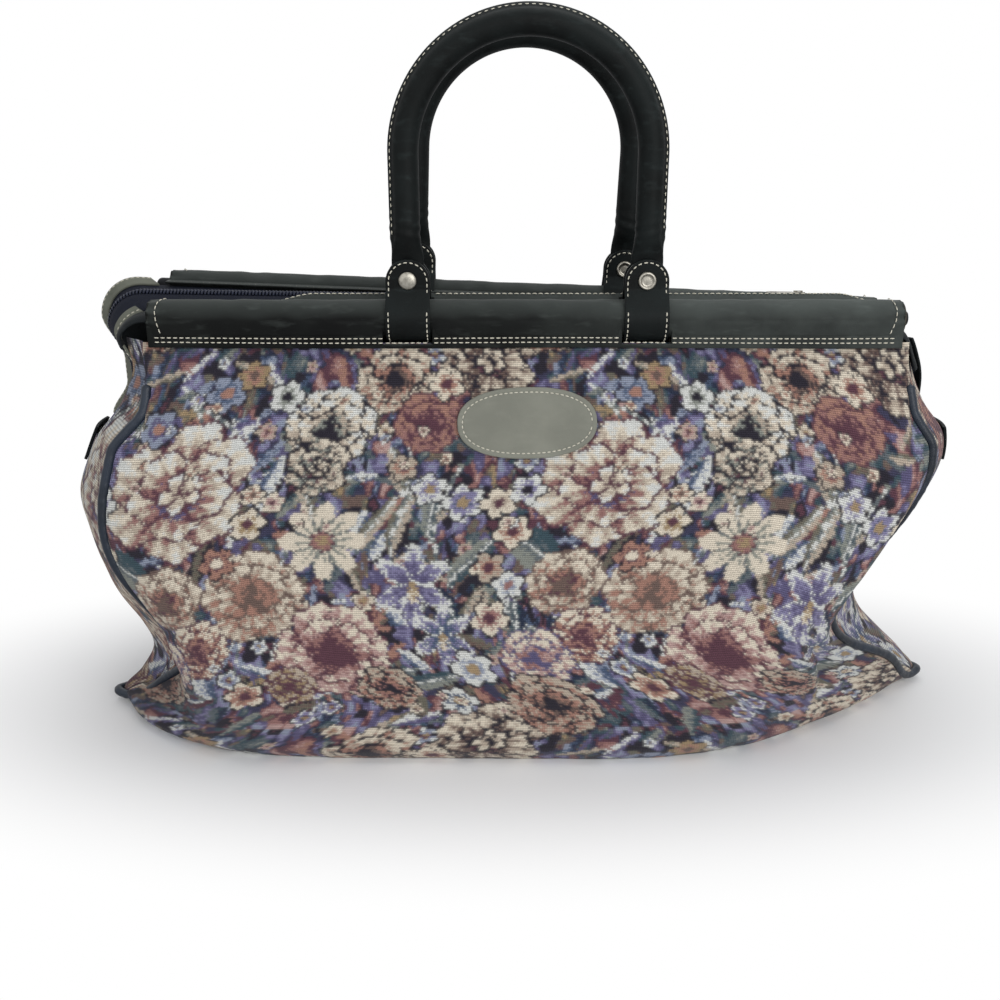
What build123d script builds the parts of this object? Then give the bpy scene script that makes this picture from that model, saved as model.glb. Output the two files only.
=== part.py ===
from build123d import *
from collections import namedtuple
from math import acos, atan2, cos, degrees, hypot, pi, radians, sin
import os

os.makedirs("parts", exist_ok=True)

# A soft floral travel bag that stands on a flat base and sags at its ends.
# X runs along the bag, the front faces -Y, and the base rests on Z = 0. Sizes are in mm.

# rails: a rod in a padded leather sleeve on each side of the mouth
rail_length = 498
front_rail_y = -40
front_rail_z = 298
back_rail_y = 35
back_rail_z = 296.5
back_rail_tilt = 2.2
tube_r = 12.5
tube_bore_r = 10.4
rod_r = 6.0
flange_outer_y = -11.8
flange_thickness = 2.2
flange_drop = 17.5
tongue_z = 5.2
tongue_reach = 20.5
tongue_thickness = 1.6

# handles and their tabs, measured from the rail's axis
front_tab_x = (-76.5, 76.5)
back_tab_x = (-78, 69)
tab_width = 28.6
tab_top = 38.5
strap_inner_r = 12.8
strap_outer_r = 15.0
strap_thickness = 2.2
throat_z = 19
tongue_half = 3.0
slit_r = 17.0
slit_play = 0.5
rivet_z = 25
rivet_head_r = 5.8
rivet_shank_r = 2.0
handle_r = 8.5
handle_core_r = 6.5
handle_neck_z = 50
handle_leg_z = 102
seam_reach = 2.6
seam_thickness = 2.4

# zip: its two cloth tapes meet at a row of teeth and turn down over both ends of the bag
zip_edge_y = -24.5
zip_coil_y = -2.5
zip_far_y = 19.5
zip_foot_z = 217
tape_thickness = 1.2
tape_gap = 2.6
tape_flat = 6
tooth_pitch = 4.2
tooth_width = 1.8
tooth_height = 2.6
tooth_root = 3.0
tooth_tip = 1.0
spine_width = 1.6
slider_x = 185
slider_length = 16
slider_half = 6.2
slider_plate = 1.2
pull_length = 24
pull_width = 7
trim_width = 7
trim_thickness = 1.8
end_tab_size = (3, 28, 24)

# cloth
cloth = 2.0
base_cloth = 3.0
piping_r = 3.3
back_pull = 6
widest_z = 165
rail_seam_z = 282
seam_gap = 4.2
gusset_foot = 12
panel_top_drop = 14.7
gusset_top = 272
patch_length = 90
patch_height = 46
patch_thickness = 2.2

# The bag's plan at each height: seams, the side and fold points of the front cloth, the front
# itself, and how far each end bulges. Bulge points are (x, y), the rest of the back mirrors the front.
Level = namedtuple(
    "Level", "z front left_bulge left_seam left_side left_fold right_fold right_side right_seam right_bulge"
)
levels = [
    Level(0, -92, (-298, -9), (-293, -12), (-268, -46), (-222, -76),
          (150, -76), (228, -34), (297, 20), (302, 25)),
    Level(8, -98, (-306, -9), (-300, -16), (-276, -52), (-226, -85),
          (154, -84), (234, -40), (303, 16), (309, 25)),
    Level(25, -99, (-292, -7), (-273, -30), (-254, -58), (-222, -90),
          (168, -87), (232, -44), (288, 0), (297, 22)),
    Level(45, -98, (-279, -5), (-246, -46), (-240, -68), (-222, -91),
          (180, -87), (216, -56), (260, -20), (276, 17)),
    Level(70, -96, (-285, -3), (-243, -58), (-243, -74), (-228, -91),
          (184, -89), (206, -66), (226, -42), (254, 12)),
    Level(95, -93, (-300, -1), (-252, -66), (-250, -80), (-236, -91),
          (190, -90), (209, -74), (213, -56), (246, 8)),
    Level(130, -88.5, (-311, 0), (-270, -76), (-264, -84), (-246, -90),
          (205, -91), (223, -82), (225, -64), (262, 4)),
    Level(165, -83.5, (-319, 0), (-279, -77), (-270, -82), (-248, -86),
          (228, -86), (243, -78), (247, -66), (285, 2)),
    Level(200, -77, (-305, 0), (-274, -73), (-262, -76), (-235, -78),
          (235, -78), (256, -74), (264, -66), (293, 0)),
    Level(235, -68.5, (-289, 0), (-264, -65), (-252, -67), (-225, -68.5),
          (225, -68.5), (250, -67), (262, -62), (286, 0)),
    Level(262, -57.5, (-280, 0), (-254, -55), (-240, -57), (-210, -57.5),
          (210, -57.5), (240, -57), (254, -55), (276, 0)),
    Level(282, -47.6, (-274, 0), (-250, -46), (-238, -47.5), (-205, -47.6),
          (205, -47.6), (238, -47.5), (250, -46), (272, 0)),
    Level(300, -41, (-270, 0), (-249, -40), (-235, -41), (-200, -41),
          (200, -41), (235, -41), (249, -40), (270, 0)),
]


def share_above(height):
    """0 up to the bag's widest height, rising to 1 at its rails."""
    return min(max((height - widest_z) / (rail_seam_z - widest_z), 0), 1)


def plan(level):
    """Points of a level's plan, from the left front seam round to the left end's bulge."""
    left_middle = (level.left_fold[0] * 0.5, level.front)
    right_middle = (level.right_fold[0] * 0.5, level.front)
    front = [level.left_seam, level.left_side, level.left_fold, left_middle, (0, level.front - 1)]
    front += [right_middle, level.right_fold, level.right_side, level.right_seam]
    left_y = level.left_bulge[1]
    right_y = level.right_bulge[1]
    shift = [2 * left_y, left_y, 0, 0, 0, 0, 0, right_y, 2 * right_y]
    pull = back_pull * share_above(level.z)
    back = [(x, dy - y - pull) for (x, y), dy in zip(front, shift)]
    return front + [level.right_bulge] + back[::-1] + [level.left_bulge]


def inset(points, depth):
    """The same points moved towards the inside of the bag."""
    moved = []
    for i, (x, y) in enumerate(points):
        ax, ay = points[i - 1]
        bx, by = points[(i + 1) % len(points)]
        length = hypot(bx - ax, by - ay)
        moved.append((x - (by - ay) / length * depth, y + (bx - ax) / length * depth))
    return moved


def pulled_back(end, neighbour, gap):
    """The end of a wall, moved along it to leave room for the piping in the seam."""
    length = hypot(neighbour[0] - end[0], neighbour[1] - end[1])
    share = gap / length
    return (end[0] + (neighbour[0] - end[0]) * share, end[1] + (neighbour[1] - end[1]) * share)


def wall(level, first, count, tilt=0):
    """A thin face that follows part of a level's plan and stops short of the piping at both ends."""
    lean = radians(tilt * share_above(level.z))
    around = plan(level)
    inside = inset(around, cloth)
    pick = [(first + i) % len(around) for i in range(count)]
    outer = [around[i] for i in pick]
    inner = [inside[i] for i in pick]
    for line in (outer, inner):
        line[0] = pulled_back(line[0], line[1], seam_gap)
        line[-1] = pulled_back(line[-1], line[-2], seam_gap)
    slope = Plane((0, 0, level.z), (cos(lean), 0, -sin(lean)), (sin(lean), 0, cos(lean)))
    with BuildSketch(slope) as face:
        with BuildLine():
            Spline(*outer)
            Line(outer[-1], inner[-1])
            Spline(*inner[::-1])
            Line(inner[0], outer[0])
        make_face()
    return face.sketch


def footprint(height, low, high):
    """The whole plan at a height between two levels, out to the middle of the cloth."""
    share = (height - low.z) / (high.z - low.z)
    pairs = zip(plan(low), plan(high))
    around = [(a[0] + (b[0] - a[0]) * share, a[1] + (b[1] - a[1]) * share) for a, b in pairs]
    rim = inset(around, cloth / 2)
    with BuildSketch(Plane.XY.offset(height)) as face:
        with BuildLine():
            Spline(*rim[0:9])
            Spline(*rim[8:11])
            Spline(*rim[10:19])
            Spline(*rim[18:20], rim[0])
        make_face()
    return face.sketch


def finished(shape, name):
    """Label a piece and write it."""
    shape.label = name
    export_step(shape, f"parts/{name}.step")
    return shape


def piping(name, seam, bulge, side):
    """A covered cord down the front seam, round the low corner and up the back seam."""
    rows = [lv for lv in levels if 5 < lv.z < 270]
    front = [(*getattr(lv, seam), lv.z) for lv in rows]
    back = [(x, 2 * getattr(lv, bulge)[1] - y, z) for (x, y, z), lv in zip(front, rows)]
    tip_x, tip_y = getattr(rows[0], bulge)
    corner = (tip_x + side * 1.5, tip_y, rows[0].z)
    with BuildPart() as cord:
        with BuildLine() as route:
            Polyline(*front[::-1], corner, *back)
        with BuildSketch(Plane(origin=route.line @ 0, z_dir=route.line % 0)):
            Circle(piping_r)
        sweep(transition=Transition.RIGHT)
    return finished(cord.part, name)


left_piping = piping("left_piping", "left_seam", "left_bulge", -1)
right_piping = piping("right_piping", "right_seam", "right_bulge", 1)


def trimmed(shape, name, cords):
    """Cloth cut back to the piping in its seams."""
    for cord in cords:
        shape = shape - cord
    return finished(shape.solids().sort_by(SortBy.VOLUME)[-1], name)


# One length of cloth makes the front, the base and the back. It hangs from both rails.
back_up = (sin(radians(back_rail_tilt)), 0, cos(radians(back_rail_tilt)))
with BuildPart() as front_wall:
    loft([wall(level, 0, 9) for level in levels], ruled=True)
    split(bisect_by=Plane.XY.offset(front_rail_z - panel_top_drop), keep=Keep.BOTTOM)

with BuildPart() as back_wall:
    loft([wall(level, 10, 9, back_rail_tilt) for level in levels], ruled=True)
    split(bisect_by=Plane(origin=(0, 0, back_rail_z - panel_top_drop), z_dir=back_up), keep=Keep.BOTTOM)

with BuildPart() as body_panel:
    add(front_wall.part)
    add(back_wall.part)
    loft([footprint(height, levels[0], levels[1]) for height in (0, base_cloth)])
trimmed(body_panel.part, "body_panel", (left_piping, right_piping))

# The ends are separate panels, piped into the body along both edges and slit for the zip.
zip_slot = Pos(0, (zip_edge_y + zip_far_y) / 2, (zip_foot_z + 300) / 2 - 4) * Box(
    700, zip_far_y - zip_edge_y + 9, 300 - zip_foot_z + 4
)
for name, first, cord in (("right_gusset", 8, right_piping), ("left_gusset", 18, left_piping)):
    with BuildPart() as gusset:
        loft([wall(level, first, 3) for level in levels], ruled=True)
        split(bisect_by=Plane.XY.offset(gusset_foot), keep=Keep.TOP)
        split(bisect_by=Plane.XY.offset(gusset_top), keep=Keep.BOTTOM)
        add(zip_slot, mode=Mode.SUBTRACT)
    trimmed(gusset.part, name, (cord,))

# The patch lies on the front cloth below the front rail, and leans as the cloth does there.
patch_lean = atan2(0.36, 1)
with BuildPart() as patch:
    with BuildSketch(Plane((0, -69.9, 236), (1, 0, 0), (0, -cos(patch_lean), sin(patch_lean)))):
        Ellipse(patch_length / 2, patch_height / 2)
    extrude(amount=patch_thickness)
    chamfer(patch.faces().sort_by(Axis.Y)[0].edges(), 0.5)
finished(patch.part, "leather_patch")


# Rails. Each is made in its own frame, with the rail's axis on X and the bag's outside towards
# side * Y, then set in place.
front_place = Location((0, front_rail_y, front_rail_z))
back_place = Location((0, back_rail_y, back_rail_z), (0, back_rail_tilt, 0))


def sleeve(name, side, tab_x, place):
    """A leather tube with a flange over the cloth, a tongue under the zip, and slits for the tabs."""
    with BuildPart() as leather:
        with BuildSketch(Plane.YZ.offset(-rail_length / 2)):
            Circle(tube_r)
            with Locations((-side * (flange_outer_y + flange_thickness / 2), -flange_drop / 2 - 1)):
                Rectangle(flange_thickness, flange_drop - 2)
            with Locations((-side * (tongue_reach + 9) / 2, tongue_z + tongue_thickness / 2)):
                Rectangle(tongue_reach - 9, tongue_thickness)
            Circle(tube_bore_r, mode=Mode.SUBTRACT)
        extrude(amount=rail_length)
        for x in tab_x:
            with BuildSketch(Plane.YZ.offset(x - tab_width / 2 - slit_play)):
                Circle(slit_r)
                Circle(tube_r, mode=Mode.SUBTRACT)
            extrude(amount=tab_width + 2 * slit_play, mode=Mode.SUBTRACT)
    finished(leather.part.moved(place), name)


def rod(name, start, length, place):
    """The stiff rod that keeps one side of the mouth straight."""
    with BuildPart() as bar:
        with BuildSketch(Plane.YZ.offset(start)):
            Circle(rod_r)
        extrude(amount=length)
        fillet(bar.edges().filter_by(GeomType.CIRCLE), rod_r * 0.6)
    finished(bar.part.moved(place), name)


def padding(name, place):
    """Soft filling between the rod and its leather."""
    length = rail_length - 12
    with BuildPart() as foam:
        with BuildSketch(Plane.YZ.offset(-length / 2)):
            Circle(tube_bore_r - 0.1)
            Circle(rod_r + 0.1, mode=Mode.SUBTRACT)
        extrude(amount=length)
    finished(foam.part.moved(place), name)


def strap_outline(radius, half_width, throat, top):
    """A ring round the rail that narrows to parallel layers above it, as a side view."""
    spread = atan2(half_width, throat) + acos(radius / hypot(half_width, throat))
    touch_y = radius * sin(spread)
    touch_z = radius * cos(spread)
    with BuildSketch(Plane.YZ) as outline:
        with BuildLine():
            ThreePointArc((touch_y, touch_z), (0, -radius), (-touch_y, touch_z))
            Polyline(
                (-touch_y, touch_z),
                (-half_width, throat),
                (-half_width, top),
                (half_width, top),
                (half_width, throat),
                (touch_y, touch_z),
            )
        make_face()
    return outline.sketch


def tab(name, x, place):
    """One strap looped round the rail, its two rounded ends riveted over the handle."""
    outer = strap_outline(strap_outer_r, tongue_half + strap_thickness, throat_z, tab_top)
    hollow = strap_outline(strap_inner_r, tongue_half, throat_z - 0.7, tab_top + 1)
    with BuildPart() as strap:
        extrude(outer, amount=tab_width / 2, both=True)
        extrude(hollow, amount=tab_width, both=True, mode=Mode.SUBTRACT)
        with BuildSketch(Plane.XZ):
            with Locations((0, tab_top - tab_width / 2)):
                Circle(tab_width / 2)
            with Locations((0, (tab_top - tab_width / 2 - 20) / 2)):
                Rectangle(tab_width, tab_top - tab_width / 2 + 20)
        extrude(amount=20, both=True, mode=Mode.INTERSECT)
        with BuildSketch(Plane.XZ):
            with Locations((0, rivet_z)):
                Circle(rivet_shank_r + 0.1)
        extrude(amount=20, both=True, mode=Mode.SUBTRACT)
    finished(strap.part.moved(place * Pos(x, 0, 0)), name)


def rivet(name, x, outward, place):
    """A set rivet: a plain domed cap on one side, a rolled ring on the other."""
    seat = tongue_half + strap_thickness + 0.05
    with BuildPart() as stud:
        with BuildSketch(Plane.XY):
            with BuildLine():
                Polyline(
                    (0, seat + 2.2),
                    (rivet_head_r * 0.6, seat + 2.0),
                    (rivet_head_r, seat + 1.0),
                    (rivet_head_r, seat),
                    (rivet_shank_r, seat),
                    (rivet_shank_r, -seat),
                    (rivet_head_r, -seat),
                    (rivet_head_r, -seat - 0.9),
                    (rivet_head_r - 0.6, -seat - 1.5),
                    (rivet_head_r - 1.4, -seat - 1.3),
                    (rivet_head_r - 1.8, -seat - 0.6),
                    (0, -seat - 0.6),
                    close=True,
                )
            make_face()
        revolve(axis=Axis.Y)
    turned = Pos(x, 0, rivet_z) * Rot(0, 0, 0 if outward > 0 else 180)
    finished(stud.part.moved(place * turned), name)


def handle_route(legs, foot_z):
    """The handle's centre line: up one leg, round the grip and down the other."""
    left, right = legs
    with BuildLine() as route:
        Line((left, 0, foot_z), (left, 0, handle_leg_z))
        ThreePointArc(
            (left, 0, handle_leg_z),
            ((left + right) / 2, 0, handle_leg_z + (right - left) / 2),
            (right, 0, handle_leg_z),
        )
        Line((right, 0, handle_leg_z), (right, 0, foot_z))
    return route.line


def handle(name, legs, place):
    """Leather rolled round a core and sewn along its outer edge, pinched flat at both ends."""
    foot_z = handle_neck_z - 1
    with BuildPart() as leather:
        add(handle_route(legs, foot_z))
        with BuildSketch(Plane(origin=(legs[0], 0, foot_z), x_dir=(1, 0, 0), z_dir=(0, 0, 1))):
            Circle(handle_r)
            with Locations((-handle_r, 0)):
                Rectangle(2 * seam_reach, seam_thickness)
            Circle(handle_core_r + 0.1, mode=Mode.SUBTRACT)
        sweep()
        for x in legs:
            foot = Plane(origin=(x, 0, throat_z + 1))
            for height in (0, tab_top - throat_z):
                with BuildSketch(foot.offset(height)):
                    Ellipse(tab_width * 0.36, tongue_half - 0.05)
            with BuildSketch(foot.offset(handle_neck_z - throat_z - 1)):
                Circle(handle_r - 0.3)
            loft(ruled=True)
            with BuildSketch(Plane.XZ):
                with Locations((x, rivet_z)):
                    Circle(rivet_shank_r + 0.1)
            extrude(amount=20, both=True, mode=Mode.SUBTRACT)
    finished(leather.part.moved(place), name)


def handle_core(name, legs, place):
    """The cord inside the rolled handle."""
    foot_z = handle_neck_z + 0.2
    with BuildPart() as cord:
        add(handle_route(legs, foot_z))
        with BuildSketch(Plane(origin=(legs[0], 0, foot_z), z_dir=(0, 0, 1))):
            Circle(handle_core_r)
        sweep()
    finished(cord.part.moved(place), name)


for rail, side, tab_x, caps, place in (
    ("front", -1, front_tab_x, (-1, 1), front_place),
    ("back", 1, back_tab_x, (1, 1), back_place),
):
    sleeve(f"{rail}_rail_sleeve", side, tab_x, place)
    padding(f"{rail}_rail_padding", place)
    handle(f"{rail}_handle", tab_x, place)
    handle_core(f"{rail}_handle_core", tab_x, place)
    tab(f"{rail}_left_tab", tab_x[0], place)
    tab(f"{rail}_right_tab", tab_x[1], place)
    rivet(f"{rail}_left_rivet", tab_x[0], caps[0], place)
    rivet(f"{rail}_right_rivet", tab_x[1], caps[1], place)
rod("front_rail_rod", -rail_length / 2 + 4, rail_length + 3, front_place)
rod("back_rail_rod", -rail_length / 2 - 11, rail_length + 9, back_place)


# Zip. Its surface is set by three lines along the bag: the front tape's edge, the teeth and the
# back tape's edge. Each line is straight on top and turns down through a quarter circle at both ends.
ZipLine = namedtuple("ZipLine", "y left_x left_top left_r right_x right_top right_r")
zip_lines = [
    ZipLine(zip_edge_y, -249, 300.6, 24, 216, 300.6, 52),
    ZipLine(zip_coil_y - tape_flat, -259, 308.0, 24, 196, 301.0, 62),
    ZipLine(zip_coil_y, -259, 308.0, 24, 196, 301.0, 62),
    ZipLine(zip_coil_y + tape_flat, -259, 308.0, 24, 196, 301.0, 62),
    ZipLine(zip_far_y, -268, 310.5, 24, 190, 290.8, 64),
]


def zip_line(y):
    """The zip's line at a distance across it, between or beyond the three given ones."""
    if y < zip_coil_y:
        low, high = zip_lines[:2]
    else:
        low, high = zip_lines[3:]
    if abs(y - zip_coil_y) <= tape_flat:
        return zip_lines[2]
    share = (y - low.y) / (high.y - low.y)
    return ZipLine(*[a + (b - a) * share for a, b in zip(low, high)])


def zip_profile(y, rise, thickness, foot=zip_foot_z):
    """A band of some thickness that follows the zip's line, raised above the tape by rise."""
    line = zip_line(y)
    edges = []
    for lift in (rise, rise - thickness):
        left_r = line.left_r + lift
        right_r = line.right_r + lift
        left_z = line.left_top - line.left_r
        right_z = line.right_top - line.right_r
        edges.append(
            [
                (line.left_x - left_r, foot),
                (line.left_x - left_r, left_z),
                (line.left_x - left_r * cos(radians(45)), left_z + left_r * sin(radians(45))),
                (line.left_x, left_z + left_r),
                (line.right_x, right_z + right_r),
                (line.right_x + right_r * cos(radians(45)), right_z + right_r * sin(radians(45))),
                (line.right_x + right_r, right_z),
                (line.right_x + right_r, foot),
            ]
        )
    top, under = edges
    with BuildSketch(Plane(origin=(0, y, 0), x_dir=(1, 0, 0), z_dir=(0, -1, 0))) as face:
        with BuildLine():
            for row in (top, under):
                Line(row[0], row[1])
                ThreePointArc(*row[1:4])
                Line(row[3], row[4])
                ThreePointArc(*row[4:7])
                Line(row[6], row[7])
            Line(top[0], under[0])
            Line(top[7], under[7])
        make_face()
    return face.sketch


def band(rows, rise, thickness):
    """A strip that follows the zip between rows set by their y."""
    with BuildPart() as strip:
        loft([zip_profile(y, rise, thickness) for y in rows], ruled=True)
    return strip.part


flat_edges = (zip_coil_y - tape_flat, zip_coil_y + tape_flat)
finished(band((zip_edge_y, flat_edges[0], zip_coil_y - tape_gap / 2), 0, tape_thickness), "front_zip_tape")
finished(band((zip_coil_y + tape_gap / 2, flat_edges[1], zip_far_y), 0, tape_thickness), "back_zip_tape")

# Leather binds each tape's edge where the zip runs past the rails and down the ends.
for rail, y_start in (("front", zip_edge_y - 3), ("back", zip_far_y + 3 - trim_width)):
    for end, side in (("left", -1), ("right", 1)):
        with BuildPart() as trim:
            add(band((y_start, y_start + trim_width), trim_thickness + 0.15, trim_thickness))
            with Locations((side * (rail_length / 2 + 2 - 500), 0, 250)):
                Box(1000, 100, 200, mode=Mode.SUBTRACT)
        finished(trim.part, f"{end}_{rail}_trim")

chain = zip_lines[2]
chain_run = chain.right_x - chain.left_x
chain_slope = degrees(atan2(chain.left_top - chain.right_top, chain_run))


def chain_spot(travel):
    """A place on the chain, by its distance from the left end of the straight run. X points along it."""
    if travel < 0:
        turn = min(-travel / chain.left_r, pi / 2)
        beyond = -travel - turn * chain.left_r
        centre = (chain.left_x, chain.left_top - chain.left_r)
        x = centre[0] - chain.left_r * sin(turn)
        z = centre[1] + chain.left_r * cos(turn) - beyond
        return Location((x, 0, z), (0, -degrees(turn), 0))
    if travel > chain_run:
        turn = min((travel - chain_run) / chain.right_r, pi / 2)
        beyond = travel - chain_run - turn * chain.right_r
        centre = (chain.right_x, chain.right_top - chain.right_r)
        x = centre[0] + chain.right_r * sin(turn)
        z = centre[1] + chain.right_r * cos(turn) - beyond
        return Location((x, 0, z), (0, degrees(turn), 0))
    z = chain.left_top + (chain.right_top - chain.left_top) * travel / chain_run
    return Location((chain.left_x + travel, 0, z), (0, chain_slope, 0))


def teeth(name, side, shift):
    """One side's teeth on their cord. The other side's teeth stand in the gaps."""
    start = zip_foot_z - chain.left_top + chain.left_r - chain.left_r * pi / 2 + 3
    end = slider_x - chain.left_x
    count = int((end - start) / tooth_pitch)
    spots = [chain_spot(start + shift + i * tooth_pitch) for i in range(count)]
    cord = sorted((zip_coil_y + side * tooth_root, zip_coil_y + side * (tooth_root + spine_width)))
    middle = zip_coil_y + side * (tooth_root - tooth_tip + 0.4) / 2
    with BuildPart() as comb:
        add(band(cord, tooth_height + 0.05, tooth_height))
        with Locations(*[spot * Pos(0, middle, 0.05 + tooth_height / 2) for spot in spots]):
            Box(tooth_width, tooth_root + tooth_tip + 0.4, tooth_height - 0.4)
    finished(comb.part, name)


teeth("front_zip_teeth", -1, 0)
teeth("back_zip_teeth", 1, tooth_pitch / 2)

# The slider: two plates joined by a post that runs between the tapes, and side walls that guide the teeth.
slider_place = chain_spot(slider_x - chain.left_x)
top_z = tooth_height + 0.05 + 0.4
low_z = -tape_thickness - 0.4
lug_z = top_z + slider_plate + 2.2
with BuildPart() as slider:
    with Locations((0, zip_coil_y, top_z + slider_plate / 2), (0, zip_coil_y, low_z - slider_plate / 2)):
        Box(slider_length, 2 * slider_half, slider_plate)
    with Locations((slider_length / 2 - 2.2, zip_coil_y, (top_z + low_z) / 2)):
        Box(3, 1.6, top_z - low_z)
    for side in (-1, 1):
        with Locations((0, zip_coil_y + side * (slider_half - 0.5), (top_z + 0.5) / 2)):
            Box(slider_length, 1, top_z - 0.5)
        with Locations((0, zip_coil_y + side * 3.2, top_z + slider_plate + 1.8)):
            Box(6, 1.4, 3.6)
    fillet(slider.edges().filter_by(Axis.Z).group_by(SortBy.LENGTH)[-1], 0.3)
    with Locations((0, zip_coil_y, lug_z)):
        Cylinder(0.75, 5.8, rotation=(90, 0, 0))
finished(slider.part.moved(slider_place), "zip_slider")

with BuildPart() as pull:
    with BuildSketch(Plane.XY.offset(lug_z - 0.7)):
        with Locations((-pull_length / 2 + 2, zip_coil_y)):
            RectangleRounded(pull_length, pull_width, 2.2)
        with Locations((0, zip_coil_y - 3.2), (0, zip_coil_y + 3.2)):
            Rectangle(8, 2.2, mode=Mode.SUBTRACT)
        with Locations((-pull_length + 6.5, zip_coil_y)):
            SlotOverall(5, 2.6, mode=Mode.SUBTRACT)
    extrude(amount=1.4)
    with Locations((0, zip_coil_y, lug_z)):
        Cylinder(1.5, 4.0, rotation=(90, 0, 0))
        Cylinder(0.8, 6, rotation=(90, 0, 0), mode=Mode.SUBTRACT)
finished(pull.part.moved(slider_place), "zip_pull")

# Leather covers the foot of the zip on both ends of the bag.
for end, x, z, lean in (("left", -302.6, 206, 24), ("right", 292.4, 206, -11)):
    side = -1 if end == "left" else 1
    with BuildPart() as cover:
        Box(*end_tab_size)
        fillet(cover.edges().filter_by(Axis.X), 5)
    turned = Location((x, zip_coil_y, z), (0, lean, 0)) * Pos(side * (end_tab_size[0] / 2 + 0.8), 0, 0)
    finished(cover.part.moved(turned), f"{end}_end_tab")
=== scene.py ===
import math
import bpy
import numpy as np
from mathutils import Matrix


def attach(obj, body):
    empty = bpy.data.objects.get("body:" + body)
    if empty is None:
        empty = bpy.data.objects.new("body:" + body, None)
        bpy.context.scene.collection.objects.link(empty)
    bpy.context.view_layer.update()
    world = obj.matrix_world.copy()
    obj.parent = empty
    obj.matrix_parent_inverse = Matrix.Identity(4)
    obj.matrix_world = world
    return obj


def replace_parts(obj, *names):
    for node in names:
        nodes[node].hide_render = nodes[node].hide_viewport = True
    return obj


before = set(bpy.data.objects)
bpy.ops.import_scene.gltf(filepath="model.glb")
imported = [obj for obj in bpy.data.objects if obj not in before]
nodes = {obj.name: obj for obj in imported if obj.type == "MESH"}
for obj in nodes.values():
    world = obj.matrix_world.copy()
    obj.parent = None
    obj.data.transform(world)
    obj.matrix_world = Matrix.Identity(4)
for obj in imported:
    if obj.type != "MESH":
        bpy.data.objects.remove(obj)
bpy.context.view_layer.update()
print("frame loaded")

# plan of the bag at each height in mm: z, front y, then x and y of the left bulge, seam, side and fold,
# and the same on the right from the fold outwards
levelTable = np.array([
    (0, -92, -298, -9, -293, -12, -268, -46, -222, -76, 150, -76, 228, -34, 297, 20, 302, 25),
    (8, -98, -306, -9, -300, -16, -276, -52, -226, -85, 154, -84, 234, -40, 303, 16, 309, 25),
    (25, -99, -292, -7, -273, -30, -254, -58, -222, -90, 168, -87, 232, -44, 288, 0, 297, 22),
    (45, -98, -279, -5, -246, -46, -240, -68, -222, -91, 180, -87, 216, -56, 260, -20, 276, 17),
    (70, -96, -285, -3, -243, -58, -243, -74, -228, -91, 184, -89, 206, -66, 226, -42, 254, 12),
    (95, -93, -300, -1, -252, -66, -250, -80, -236, -91, 190, -90, 209, -74, 213, -56, 246, 8),
    (130, -88.5, -311, 0, -270, -76, -264, -84, -246, -90, 205, -91, 223, -82, 225, -64, 262, 4),
    (165, -83.5, -319, 0, -279, -77, -270, -82, -248, -86, 228, -86, 243, -78, 247, -66, 285, 2),
    (200, -77, -305, 0, -274, -73, -262, -76, -235, -78, 235, -78, 256, -74, 264, -66, 293, 0),
    (235, -68.5, -289, 0, -264, -65, -252, -67, -225, -68.5, 225, -68.5, 250, -67, 262, -62, 286, 0),
    (262, -57.5, -280, 0, -254, -55, -240, -57, -210, -57.5, 210, -57.5, 240, -57, 254, -55, 276, 0),
    (282, -47.6, -274, 0, -250, -46, -238, -47.5, -205, -47.6, 205, -47.6, 238, -47.5, 250, -46, 272, 0),
    (300, -41, -270, 0, -249, -40, -235, -41, -200, -41, 200, -41, 235, -41, 249, -40, 270, 0),
], dtype=float)
body = {"backPull": 6, "widest": 165, "railSeam": 282, "backTilt": math.radians(2.2)}


def smoothStep(low, high, value):
    t = np.clip((np.asarray(value, float) - low) / (high - low), 0, 1)
    return t * t * (3 - 2 * t)


def levelRows(height):
    height = np.atleast_1d(np.asarray(height, float))
    zs = levelTable[:, 0]
    slope = np.gradient(levelTable, zs, axis=0)
    k = np.clip(np.searchsorted(zs, height) - 1, 0, len(zs) - 2)
    gap = (zs[k + 1] - zs[k])[:, None]
    f = ((height - zs[k]) / gap[:, 0])[:, None]
    a = levelTable[k] * (2 * f**3 - 3 * f**2 + 1) + slope[k] * gap * (f**3 - 2 * f**2 + f)
    return a + levelTable[k + 1] * (3 * f**2 - 2 * f**3) + slope[k + 1] * gap * (f**3 - f**2)


def planPoints(row):
    z, front, lbx, lby, lsx, lsy, lsdx, lsdy, lfx, lfy, rfx, rfy, rsdx, rsdy, rsx, rsy, rbx, rby = row
    line = [(lsx, lsy), (lsdx, lsdy), (lfx, lfy), (lfx * .5, front), (0, front - 1)]
    line += [(rfx * .5, front), (rfx, rfy), (rsdx, rsdy), (rsx, rsy)]
    shift = [2 * lby, lby, 0, 0, 0, 0, 0, rby, 2 * rby]
    pull = body["backPull"] * min(max((z - body["widest"]) / (body["railSeam"] - body["widest"]), 0), 1)
    behind = [(x, dy - y - pull) for (x, y), dy in zip(line, shift)]
    return line + [(rbx, rby)] + behind[::-1] + [(lbx, lby)]


def lengthsAlong(line):
    return np.concatenate([[0], np.cumsum(np.linalg.norm(np.diff(line, axis=0), axis=1))])


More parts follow.
